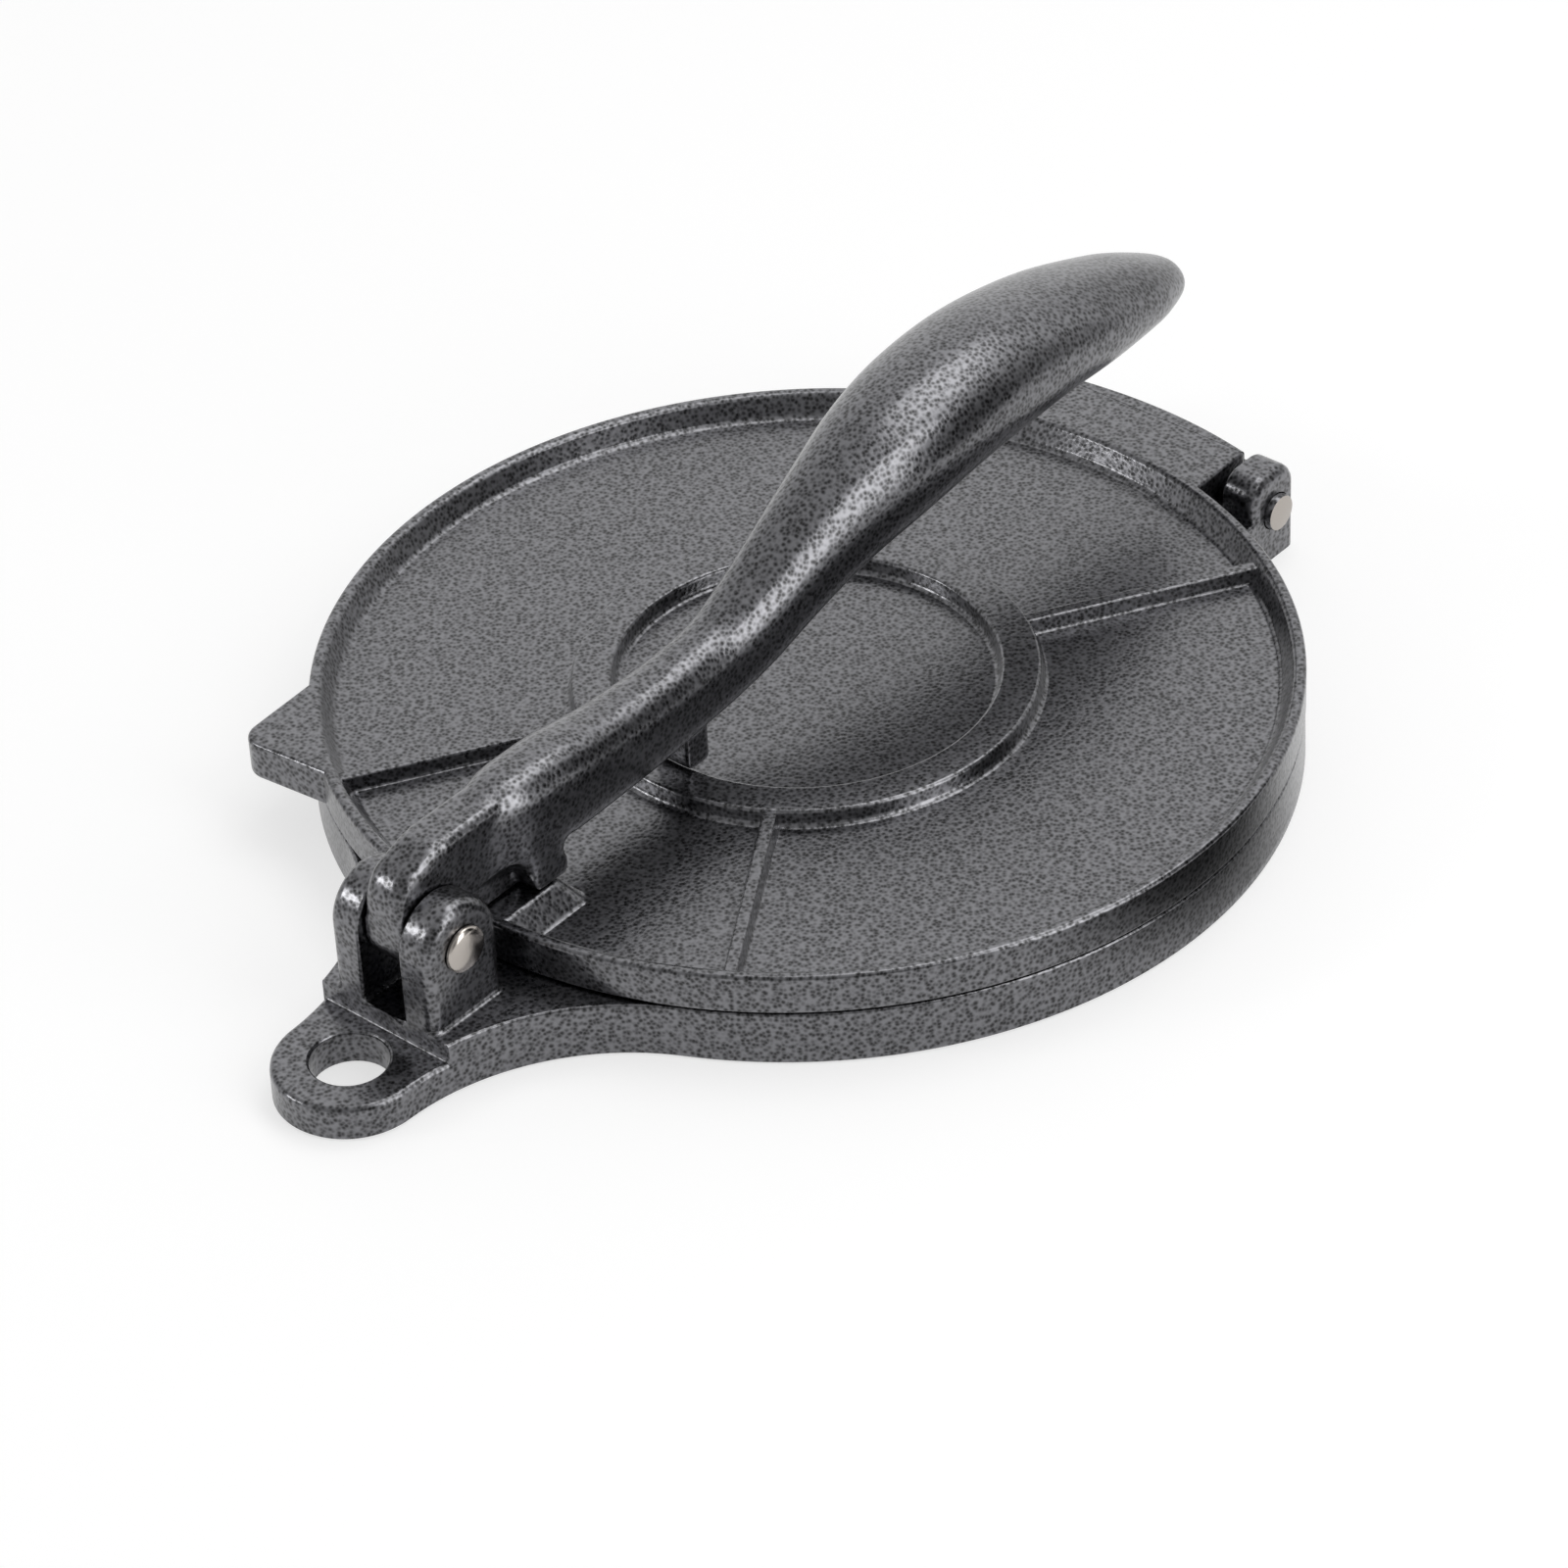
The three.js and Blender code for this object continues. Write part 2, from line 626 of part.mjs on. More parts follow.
// The lever pin: a domed head on one side, and the other end peened over the ear
function makeLeverPin() {
  const seat = earOuterX + runningGap;
  const head = dome(pinHeadRadius, seat + pinHeadRim, seat + pinHeadHeight);
  const tail = dome(pinTailRadius, -seat - pinHeadRim / 2, -seat - pinTailHeight).reverse();
  const profile = [
    ...tail,
    new THREE.Vector2(pinTailRadius, -seat),
    new THREE.Vector2(leverPinRadius, -seat),
    new THREE.Vector2(leverPinRadius, seat),
    new THREE.Vector2(pinHeadRadius, seat),
    ...head,
  ];
  profile[0].x = 0;
  profile[profile.length - 1].x = 0;
  return solid(turnedPin(profile).translate(0, leverPinY, leverPinHeight));
}

// The hinge pin: a plain rod with chamfered ends that stand out of the lugs
function makeHingePin() {
  const reach = lugInnerX + lugThickness + pinStandout;
  const profile = [
    new THREE.Vector2(0, -reach),
    new THREE.Vector2(hingePinRadius - pinChamfer, -reach),
    new THREE.Vector2(hingePinRadius, -reach + pinChamfer),
    new THREE.Vector2(hingePinRadius, reach - pinChamfer),
    new THREE.Vector2(hingePinRadius - pinChamfer, reach),
    new THREE.Vector2(0, reach),
  ];
  return solid(turnedPin(profile).translate(0, hingeY, hingeHeight));
}

const hammeredPaint = { color: '#4b4c4f', roughness: 0.45, metalness: 0.35 };
const brightSteel = { color: '#cfcac2', roughness: 0.3, metalness: 1 };

const press = new THREE.Group();
press.add(
  castPiece('base', makeBase(), hammeredPaint),
  castPiece('top_plate', makeTopPlate(), hammeredPaint),
  castPiece('lever', makeLever(), hammeredPaint),
  castPiece('lever_pin', makeLeverPin(), brightSteel),
  castPiece('hinge_pin', makeHingePin(), brightSteel),
);
press.position.y = -(frontY + backY) / 2;

export default press;
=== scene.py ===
# %% [markdown]
# # A cast tortilla press in hammered paint
# The press is three castings that turn on two steel pins. Each casting is a single lump of metal
# with soft edges, because sand moulds and thick paint leave nothing sharp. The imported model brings
# the plain solids at their true size. This lesson models finer castings in their place, paints
# them, and lights them on a white table. It begins with the frame, which is only read.

import math

import bmesh
import bpy
from mathutils import Matrix, Quaternion, Vector


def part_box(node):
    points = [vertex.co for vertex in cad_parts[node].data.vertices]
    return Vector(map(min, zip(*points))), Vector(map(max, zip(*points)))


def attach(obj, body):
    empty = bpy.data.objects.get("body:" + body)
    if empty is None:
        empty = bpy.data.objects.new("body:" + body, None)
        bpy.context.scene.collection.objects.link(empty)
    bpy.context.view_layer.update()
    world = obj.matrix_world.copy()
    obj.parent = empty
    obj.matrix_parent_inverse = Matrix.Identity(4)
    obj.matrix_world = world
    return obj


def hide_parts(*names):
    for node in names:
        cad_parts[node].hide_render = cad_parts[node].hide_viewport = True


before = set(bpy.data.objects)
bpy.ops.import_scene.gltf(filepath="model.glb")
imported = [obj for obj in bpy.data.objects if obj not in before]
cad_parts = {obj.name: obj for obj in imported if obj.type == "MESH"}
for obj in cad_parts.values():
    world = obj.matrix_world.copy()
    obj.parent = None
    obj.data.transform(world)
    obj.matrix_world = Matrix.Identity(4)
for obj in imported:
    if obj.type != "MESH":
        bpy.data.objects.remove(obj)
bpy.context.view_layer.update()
print("parts in the frame:", ", ".join(sorted(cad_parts)))

# %% [markdown]
# Blender works in metres here, and a maker thinks in millimetres, so every size is a number times
# MM. The great sizes come from the frame: the plate's radius and middle, the heights of its faces
# and the places of both pins. What is given after that are the small sizes of a casting.

# %% Places read from the frame
MM = 0.001
plate_low, plate_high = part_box("top_plate")
base_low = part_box("base")[0]
lever_pin_low, lever_pin_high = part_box("lever_pin")
hinge_pin_low, hinge_pin_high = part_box("hinge_pin")

PLATE_RADIUS = plate_high.x
PLATE_TOP = plate_high.z
CENTRE_Y = plate_low.y + PLATE_RADIUS
LEVER_PIN = (lever_pin_low + lever_pin_high) / 2
LEVER_PIN.x = 0
HINGE_PIN = (hinge_pin_low + hinge_pin_high) / 2
HINGE_PIN.x = 0
CENTRE = Vector((0, CENTRE_Y, 0))
print("plate radius in mm:", round(PLATE_RADIUS / MM, 2))
print("lever pin in mm:", [round(v / MM, 2) for v in LEVER_PIN])
print("hinge pin in mm:", [round(v / MM, 2) for v in HINGE_PIN])

# %% [markdown]
# ## Tools of the bench
# An operator acts on whatever is selected, and loading the frame leaves its parts selected. So
# each step first clears the selection, and then picks faces, edges or points in code, by where
# they lie. These few helpers do that, and join or cut closed solids with the manifold boolean.

# %% Helpers that select and finish
NEAR = 0.02 * MM


def deselect_all():
    if bpy.context.object and bpy.context.object.mode == "EDIT":
        bpy.ops.object.mode_set(mode="OBJECT")
    bpy.ops.object.select_all(action="DESELECT")


def make_active(piece):
    deselect_all()
    piece.select_set(True)
    bpy.context.view_layer.objects.active = piece


def edit(piece, kind="EDGE"):
    make_active(piece)
    bpy.ops.object.mode_set(mode="EDIT")
    bpy.ops.mesh.select_mode(type=kind)


def leave_edit():
    bpy.ops.object.mode_set(mode="OBJECT")


def pick(piece, parts, wanted):
    """Selects the faces, edges or verts of the piece in edit mode for which wanted is true."""
    bpy.ops.mesh.select_all(action="DESELECT")
    mesh = bmesh.from_edit_mesh(piece.data)
    mesh.normal_update()
    count = 0
    for part in getattr(mesh, parts):
        if wanted(part):
            part.select_set(True)
            count += 1
    mesh.select_flush_mode()
    bmesh.update_edit_mesh(piece.data)
    return count


def middle(part):
    return sum((v.co for v in part.verts), Vector()) / len(part.verts)


FACING = 0.9


def faces_up(face):
    return face.normal.z > FACING


def apply_place(piece):
    """Puts the piece's place into its mesh, so that its object sits at the origin."""
    make_active(piece)
    bpy.ops.object.transform_apply(location=True, rotation=True, scale=True)


def named(piece, name):
    piece.name = name
    piece.data.name = name
    return piece


def apply_modifier(piece, kind, **settings):
    make_active(piece)
    modifier = piece.modifiers.new(kind.lower(), kind)
    for key, value in settings.items():
        setattr(modifier, key, value)
    bpy.ops.object.modifier_apply(modifier=modifier.name)


def combine(piece, other, operation):
    """Joins the other solid to the piece, or cuts it away, and removes the other."""
    apply_modifier(piece, "BOOLEAN", operation=operation, solver="MANIFOLD", object=other)
    bpy.data.objects.remove(other)
    return piece


def join_solids(piece, *others):
    for other in others:
        combine(piece, other, "UNION")
    return piece


def cut_solids(piece, *others):
    for other in others:
        combine(piece, other, "DIFFERENCE")
    return piece


def face_out(piece):
    edit(piece, "VERT")
    bpy.ops.mesh.select_all(action="SELECT")
    bpy.ops.mesh.remove_doubles(threshold=NEAR / 10)
    bpy.ops.mesh.normals_make_consistent(inside=False)
    leave_edit()


SMOOTH_ANGLE = math.radians(32)


def smooth_casting(piece):
    """Rounds the shading over fillets, and lets broad flat faces keep their own direction."""
    make_active(piece)
    bpy.ops.object.shade_smooth_by_angle(angle=SMOOTH_ANGLE)
    apply_modifier(piece, "WEIGHTED_NORMAL", keep_sharp=True, weight=100)


def report(piece):
    triangles = sum(len(p.vertices) - 2 for p in piece.data.polygons)
    low = [round(min(v.co[i] for v in piece.data.vertices) / MM, 1) for i in range(3)]
    high = [round(max(v.co[i] for v in piece.data.vertices) / MM, 1) for i in range(3)]
    print(piece.name, "triangles", triangles, "from", low, "to", high)


# %% [markdown]
# ## Rounds and beads
# A fillet is what the eye reads on a casting: a bright line along each edge. An edge is picked by
# its place, and the bevel operator rolls a round over it. The same operator fills an inner corner
# with a cove. A block and a cylinder are the raw stock for everything else.

# %% Helpers that add stock and round it
FILLET_STEPS = 4
SMALL_STEPS = 3


def bevel(offset, steps=FILLET_STEPS):
    bpy.ops.mesh.bevel(offset=offset, segments=steps, affect="EDGES", clamp_overlap=False)


def round_edges(piece, offset, wanted, steps=FILLET_STEPS):
    edit(piece)
    count = pick(piece, "edges", wanted)
    if count:
        bevel(offset, steps)
    leave_edit()
    return count


def block(low, high):
    deselect_all()
    low, high = Vector(low), Vector(high)
    bpy.ops.mesh.primitive_cube_add(size=1, location=(low + high) / 2, scale=high - low)
    piece = bpy.context.object
    apply_place(piece)
    return piece


def rod(radius, start, end, steps):
    """A cylinder from one point to another."""
    deselect_all()
    start, end = Vector(start), Vector(end)
    along = end - start
    turn = along.to_track_quat("Z", "Y").to_euler()
    bpy.ops.mesh.primitive_cylinder_add(
        vertices=steps, radius=radius, depth=along.length, location=(start + end) / 2, rotation=turn)
    piece = bpy.context.object
    apply_place(piece)
    return piece


def copy_of(piece):
    twin = piece.copy()
    twin.data = piece.data.copy()
    bpy.context.collection.objects.link(twin)
    return twin


def turn_about(piece, centre, angle, axis="Z"):
    """Turns the mesh about an upright or level line through the centre."""
    place = Matrix.Translation(centre) @ Matrix.Rotation(angle, 4, axis) @ Matrix.Translation(-centre)
    piece.data.transform(place)
    return piece


# %% [markdown]
# ## The top plate
# The upper casting is a dish: a rim round a flat floor, a ring rib on the floor and four thin ribs
# from the ring to the rim. It could be spun from a profile. Here it is raised the way clay is
# worked, which shows each wall as it comes: a disc is extruded to a slab, and its upper face is
# inset and pushed down, inset and pulled up, until rim, floor and ring all stand.

# %% Raise the dish of the top plate
DISC_STEPS = 256
PLATE_HEIGHT = 10.7 * MM
PLATE_FLOOR = 4.7 * MM
RIM_WIDTH = 3 * MM
RIM_SLOPE = 3.2 * MM
RING_INNER = 49 * MM
RING_OUTER = 59 * MM
RING_HEIGHT = 4.4 * MM
RING_DRAFT = 0.6 * MM

PLATE_BOTTOM = PLATE_TOP - PLATE_HEIGHT
FLOOR_TOP = PLATE_BOTTOM + PLATE_FLOOR
RIM_INNER = PLATE_RADIUS - RIM_WIDTH
FLOOR_RADIUS = RIM_INNER - RIM_SLOPE


def at_height(height):
    """The point on the disc's axis at a height."""
    return Vector((0, CENTRE_Y, height))


def pull_face(rise, from_radius, to_radius):
    """Extrudes the selected disc face up or down and draws it to another radius."""
    bpy.ops.mesh.extrude_region_move(TRANSFORM_OT_translate={"value": (0, 0, rise)})
    share = to_radius / from_radius
    bpy.ops.transform.resize(value=(share, share, 1), center_override=CENTRE)


def inset_face(from_radius, to_radius):
    bpy.ops.mesh.inset(thickness=from_radius - to_radius, use_even_offset=True)


def raise_dish():
    dish = rod(PLATE_RADIUS, at_height(PLATE_BOTTOM), at_height(PLATE_TOP), DISC_STEPS)
    edit(dish, "FACE")
    pick(dish, "faces", faces_up)
    inset_face(PLATE_RADIUS, RIM_INNER)
    pull_face(FLOOR_TOP - PLATE_TOP, RIM_INNER, FLOOR_RADIUS)
    inset_face(FLOOR_RADIUS, RING_OUTER + RING_DRAFT)
    pull_face(RING_HEIGHT, RING_OUTER + RING_DRAFT, RING_OUTER)
    inset_face(RING_OUTER, RING_INNER)
    pull_face(-RING_HEIGHT, RING_INNER, RING_INNER - RING_DRAFT)
    leave_edit()
    face_out(dish)
    return dish


dish = raise_dish()
report(dish)

# %% [markdown]
# Every edge of the dish is a circle, so its radius and height are enough to pick it. Edges that
# stand up from the floor get a small cove at the foot and a small round at the top.

# %% Round the circles of the dish
RIM_ROUND = 1.1 * MM
RING_ROUND = 0.9 * MM
FOOT_COVE = 1.3 * MM
SKIRT_ROUND = 0.7 * MM
CIRCLE_NEAR = 0.1 * MM


def on_circle(edge, radius, height):
    for vert in edge.verts:
        spread = math.hypot(vert.co.x, vert.co.y - CENTRE_Y)
        if abs(spread - radius) > CIRCLE_NEAR or abs(vert.co.z - height) > NEAR:
            return False
    return True


def round_circle(piece, radius, height, offset, steps=FILLET_STEPS):
    count = round_edges(piece, offset, lambda edge: on_circle(edge, radius, height), steps)
    print("rounded", count, "edges at radius", round(radius / MM, 1), "height", round(height / MM, 1))


round_circle(dish, PLATE_RADIUS, PLATE_TOP, RIM_ROUND)
round_circle(dish, RIM_INNER, PLATE_TOP, RIM_ROUND)
round_circle(dish, PLATE_RADIUS, PLATE_BOTTOM, SKIRT_ROUND)
round_circle(dish, FLOOR_RADIUS, FLOOR_TOP, FOOT_COVE)
for ring_radius, side in ((RING_OUTER, 1), (RING_INNER, -1)):
    round_circle(dish, ring_radius, FLOOR_TOP + RING_HEIGHT, RING_ROUND)
    round_circle(dish, ring_radius + side * RING_DRAFT, FLOOR_TOP, FOOT_COVE)
report(dish)

# %% [markdown]
# ## What stands on the floor of the dish
# Four thin ribs run from the ring to the rim, and a raised pad takes the lever's push. Each is a
# block on a wide thin slab that lies just under the floor. The slab's upper face is inset and
# pulled up, so the inner corner at the foot can take a cove, which runs out into the floor. The
# hidden ends sit inside the ring and the rim.

# %% A block on a slab, with a cove round its foot
SUNK = 0.01 * MM
SLAB = 1 * MM


def raised_block(low, high, draft, corner, top_round, cove):
    """low and high are the corners of the foot and the height; draft draws in the upper face."""
    margin = cove + SLAB
    spread = Vector((margin, margin, 0))
    foot = low.z - SUNK
    top = Vector((high.x, high.y, foot)) + spread
    piece = block(Vector((low.x, low.y, foot - SLAB)) - spread, top)
    edit(piece, "FACE")
    pick(piece, "faces", faces_up)
    bpy.ops.mesh.inset(thickness=margin, use_even_offset=True)
    bpy.ops.mesh.extrude_region_move(TRANSFORM_OT_translate={"value": (0, 0, high.z - foot)})
    size = high - low
    share = ((size.x - 2 * draft.x) / size.x, (size.y - 2 * draft.y) / size.y, 1)
    bpy.ops.transform.resize(value=share, center_override=(low + high) / 2)
    leave_edit()

    def standing(edge):
        heights = [vert.co.z for vert in edge.verts]
        return max(heights) - min(heights) > SLAB and max(heights) > foot + NEAR

    def at_foot(edge):
        inner = all(low.x - NEAR < v.co.x < high.x + NEAR and low.y - NEAR < v.co.y < high.y + NEAR
                    for v in edge.verts)
        return inner and all(abs(v.co.z - foot) < NEAR for v in edge.verts)

    round_edges(piece, corner, standing)
    round_edges(piece, top_round, lambda edge: all(v.co.z > high.z - NEAR for v in edge.verts), SMALL_STEPS)
    round_edges(piece, cove, at_foot, SMALL_STEPS)
    return piece


# %% Model one thin rib and set four
RIB_HEIGHT = 4.2 * MM
RIB_AT_RING = 4.5 * MM
RIB_AT_RIM = 4 * MM
RIB_DRAFT = 0.5 * MM
RIB_ROUND = 0.6 * MM
RIB_COVE = 1 * MM
RIB_ANGLE = math.radians(58.5)
HIDDEN_END = 3 * MM


def thin_rib():
    start = RING_OUTER - HIDDEN_END
    end = PLATE_RADIUS - RIB_COVE - 2 * SLAB
    low = Vector((start, -RIB_AT_RING / 2, FLOOR_TOP))
    high = Vector((end, RIB_AT_RING / 2, FLOOR_TOP + RIB_HEIGHT))
    rib = raised_block(low, high, Vector((RIB_DRAFT, RIB_DRAFT, 0)), RIB_DRAFT, RIB_ROUND, RIB_COVE)
    edit(rib, "VERT")
    pick(rib, "verts", lambda vert: vert.co.x > (start + end) / 2)
    bpy.ops.transform.resize(value=(1, RIB_AT_RIM / RIB_AT_RING, 1), center_override=(end, 0, 0))
    leave_edit()
    rib.data.transform(Matrix.Translation(CENTRE))
    face_out(rib)
    return rib


rib = thin_rib()
report(rib)
for angle in (RIB_ANGLE, math.pi - RIB_ANGLE, math.pi + RIB_ANGLE, -RIB_ANGLE):
    join_solids(dish, turn_about(copy_of(rib), CENTRE, angle))
bpy.data.objects.remove(rib)
report(dish)

# %% Model the pad under the lever
PAD_HALF_WIDTH = 15 * MM
PAD_REACH = 27 * MM
PAD_DRAFT = Vector((5.5, 3.5, 0)) * MM
PAD_CORNER = 4 * MM
PAD_ROUND = 0.8 * MM
PAD_COVE = 1 * MM
PAD_TUCK = 2 * MM


def pressing_pad():
    front = CENTRE_Y - PLATE_RADIUS
    low = Vector((-PAD_HALF_WIDTH, front + PAD_TUCK + PAD_COVE - 2 * PAD_DRAFT.y, FLOOR_TOP))
    high = Vector((PAD_HALF_WIDTH, front + PAD_REACH, PLATE_TOP - 2 * SUNK))
    pad = raised_block(low, high, PAD_DRAFT, PAD_CORNER, PAD_ROUND, PAD_COVE)
    stock = rod(RIM_INNER + PAD_ROUND, CENTRE, CENTRE + Vector((0, 0, 2 * PLATE_TOP)), DISC_STEPS)
    combine(pad, stock, "INTERSECT")
    face_out(pad)
    return pad


pad = pressing_pad()
report(pad)
join_solids(dish, pad)
report(dish)

# %% [markdown]
# ## Tab and knuckle
# At one side a pointed tab lifts the plate. Its outline is what a band would take round a small
# disc and a short bar, so those two are added and the convex hull operator stretches the band. On
# the hinge side the plate swells into a flange, which is a piece of a larger disc about the same
# middle, and the knuckle is a rod below it. Both are trimmed inside the rim before joining.

# %% Model the lifting tab
TAB_ANGLE = math.radians(40.5)
TAB_SPREAD = math.radians(8.6)
TAB_REACH = 15.5 * MM
TAB_TIP = 6 * MM
TAB_ROUND = 1.1 * MM
ROD_STEPS = 64


def hull_of(piece, *others):
    make_active(piece)
    for other in others:
        other.select_set(True)
    bpy.ops.object.join()
    edit(piece, "VERT")
    bpy.ops.mesh.select_all(action="SELECT")
    bpy.ops.mesh.convex_hull(join_triangles=False)
    bpy.ops.mesh.select_all(action="SELECT")
    bpy.ops.mesh.dissolve_limited(angle_limit=math.radians(1))
    leave_edit()
    face_out(piece)
    return piece


def trim_inside_rim(piece):
    keep_out = RIM_INNER + RIM_ROUND + SUNK
    core = rod(keep_out, CENTRE, CENTRE + Vector((0, 0, 2 * PLATE_TOP)), DISC_STEPS)
    return cut_solids(piece, core)


def sharp(edge, limit=math.radians(30)):
    return edge.is_manifold and edge.calc_face_angle(0) > limit


def lifting_tab():
    top = PLATE_TOP - SUNK
    low = PLATE_BOTTOM + SUNK
    root = PLATE_RADIUS * math.cos(TAB_SPREAD)
    half = PLATE_RADIUS * math.sin(TAB_SPREAD)
    tip = CENTRE + Vector((PLATE_RADIUS + TAB_REACH - TAB_TIP, 0, 0))
    bar_low = CENTRE + Vector((root - 2 * RIM_WIDTH, -half, low))
    bar_high = CENTRE + Vector((root, half, top))
    tip_disc = rod(TAB_TIP, tip + Vector((0, 0, low)), tip + Vector((0, 0, top)), ROD_STEPS)
    tab = hull_of(block(bar_low, bar_high), tip_disc)
    round_edges(tab, TAB_ROUND, lambda edge: sharp(edge) and middle(edge).x > root - RIM_WIDTH
                and abs(edge.verts[0].co.z - edge.verts[1].co.z) < NEAR)
    turn_about(tab, CENTRE, -(math.pi / 2 + TAB_ANGLE))
    return trim_inside_rim(tab)


tab = lifting_tab()
report(tab)
join_solids(dish, tab)

# %% Model the flange and the knuckle
KNUCKLE_RADIUS = 9.4 * MM
KNUCKLE_HALF = 32 * MM
FLANGE_RADIUS = 144.6 * MM
FLANGE_ROUND = 1.2 * MM
BORE_GAP = 0.3 * MM
HINGE_RADIUS = (hinge_pin_high.z - hinge_pin_low.z) / 2


def hinge_side():
    end = Vector((KNUCKLE_HALF, 0, 0))
    low = Vector((-KNUCKLE_HALF, CENTRE_Y + RIM_INNER - 5 * RIM_WIDTH, PLATE_BOTTOM + SUNK))
    high = Vector((KNUCKLE_HALF, CENTRE_Y + PLATE_RADIUS + KNUCKLE_HALF, PLATE_TOP - SUNK))
    disc = rod(FLANGE_RADIUS, CENTRE, at_height(2 * PLATE_TOP), 2 * DISC_STEPS)
    flange = combine(block(low, high), disc, "INTERSECT")
    round_edges(flange, FLANGE_ROUND, lambda edge: sharp(edge) and middle(edge).y > low.y + NEAR
                and middle(edge).z > PLATE_BOTTOM + RIM_ROUND)
    knuckle = rod(KNUCKLE_RADIUS, HINGE_PIN - end, HINGE_PIN + end, ROD_STEPS)
    round_edges(knuckle, FLANGE_ROUND, lambda edge: sharp(edge, math.radians(60)))
    return join_solids(trim_inside_rim(flange), knuckle)


flange = hinge_side()
report(flange)
join_solids(dish, flange)
bore_reach = Vector((PLATE_RADIUS, 0, 0))
bore = rod(HINGE_RADIUS + BORE_GAP, HINGE_PIN - bore_reach, HINGE_PIN + bore_reach, ROD_STEPS)
top_plate = named(cut_solids(dish, bore), "top_plate_casting")
face_out(top_plate)
report(top_plate)

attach(top_plate, "top_plate")
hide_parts("top_plate")
smooth_casting(top_plate)

# %% [markdown]
# ## The base
# The lower casting is a disc with a tail that ends in a hanging eye. Its outline is four arcs that
# touch each other. One point is placed at the start and spun round four centres in turn, which
# draws the whole line. The filled outline is then inset with a depth, which raises a wall and
# gives it the slight draft that lets a casting leave its mould.

# %% Draw the outline with one point spun round four centres
EYE_RADIUS = 19 * MM
FLARE_RADIUS = 64 * MM
EYE = Vector((0, base_low.y + EYE_RADIUS, 0))
DISC_ARC_STEPS = 200
FLARE_STEPS = 24
EYE_STEPS = 48

to_disc = PLATE_RADIUS + FLARE_RADIUS
to_eye = EYE_RADIUS + FLARE_RADIUS
eye_drop = EYE.y - CENTRE_Y
flare_drop = (to_disc ** 2 - to_eye ** 2 + eye_drop ** 2) / (2 * eye_drop)
flare_side = math.sqrt(to_disc ** 2 - flare_drop ** 2)
FLARE_RIGHT = Vector((flare_side, CENTRE_Y + flare_drop, 0))
FLARE_LEFT = Vector((-flare_side, CENTRE_Y + flare_drop, 0))
disc_start = math.atan2(flare_drop, flare_side)
eye_start = math.atan2(flare_drop - eye_drop, flare_side)


def spin_point(centre, angle, steps):
    """Draws an arc with the selected point; a positive angle turns to the left, seen from above."""
    bpy.ops.mesh.spin(steps=steps, angle=-angle, center=centre, axis=(0, 0, 1))


def outline(inset):
    """The filled outline of the base on the table, drawn in by an inset."""
    deselect_all()
    bpy.ops.mesh.primitive_plane_add(size=PLATE_RADIUS)
    piece = bpy.context.object
    edit(piece, "VERT")
    bpy.ops.mesh.select_all(action="SELECT")
    bpy.ops.mesh.merge(type="CENTER")
    radius = PLATE_RADIUS - inset
    start = CENTRE + Vector((math.cos(disc_start), math.sin(disc_start), 0)) * radius
    bpy.ops.transform.translate(value=start)
    spin_point(CENTRE, math.pi - 2 * disc_start, DISC_ARC_STEPS)
    spin_point(FLARE_LEFT, -(eye_start - disc_start), FLARE_STEPS)
    spin_point(EYE, math.pi + 2 * eye_start, EYE_STEPS)
    spin_point(FLARE_RIGHT, -(eye_start - disc_start), FLARE_STEPS)
    bpy.ops.mesh.select_all(action="SELECT")
    bpy.ops.mesh.remove_doubles(threshold=NEAR)
    bpy.ops.mesh.edge_face_add()
    leave_edit()
    return piece


print("flare centre in mm:", [round(v / MM, 1) for v in FLARE_RIGHT])

# %% [markdown]
# The eye lies low and the rest of the tail stands higher, with a small riser between. The slab is
# raised to the height of the eye, its top is split along the riser with a bisect, and only the
# part behind the line is raised again.

# %% Raise the slab in two levels
SEAM = 0.5 * MM
BASE_HEIGHT = PLATE_BOTTOM - SEAM
EYE_HEIGHT = 9.5 * MM
EAR_RADIUS = 12.2 * MM
RISER_Y = LEVER_PIN.y - EAR_RADIUS
WALL_DRAFT = 0.2 * MM
FOOT_INSET = 0.8 * MM
DECK_ROUND = 0.8 * MM
EYE_ROUND = 1.5 * MM


def raise_top(thickness, depth):
    bpy.ops.mesh.inset(thickness=thickness, depth=depth, use_even_offset=True)


def thicken(piece, height):
    """Raises the filled outline into a slab with upright walls."""
    edit(piece, "FACE")
    bpy.ops.mesh.select_all(action="SELECT")
    bpy.ops.mesh.extrude_region_move(TRANSFORM_OT_translate={"value": (0, 0, height)})
    leave_edit()
    face_out(piece)


def two_level_slab():
    slab = outline(0)
    thicken(slab, FOOT_INSET)
    edit(slab, "FACE")
    pick(slab, "faces", faces_up)
    first_rise = EYE_HEIGHT - FOOT_INSET
    first_draft = WALL_DRAFT * first_rise / (BASE_HEIGHT - FOOT_INSET)
    raise_top(first_draft, first_rise)
    bpy.ops.mesh.select_all(action="SELECT")
    bpy.ops.mesh.bisect(plane_co=(0, RISER_Y, 0), plane_no=(0, 1, 0))
    pick(slab, "faces", lambda face: faces_up(face) and middle(face).y > RISER_Y)
    raise_top(WALL_DRAFT - first_draft, BASE_HEIGHT - EYE_HEIGHT)
    pick(slab, "verts", lambda vert: vert.co.z > EYE_HEIGHT + NEAR and vert.co.y < RISER_Y + WALL_DRAFT)
    bpy.ops.transform.resize(value=(1, 0, 1), center_override=(0, RISER_Y, 0))
    leave_edit()
    face_out(slab)
    return slab


def on_riser(edge):
    return all(abs(vert.co.y - RISER_Y) < NEAR for vert in edge.verts)


def level_at(edge, height):
    return all(abs(vert.co.z - height) < NEAR for vert in edge.verts)


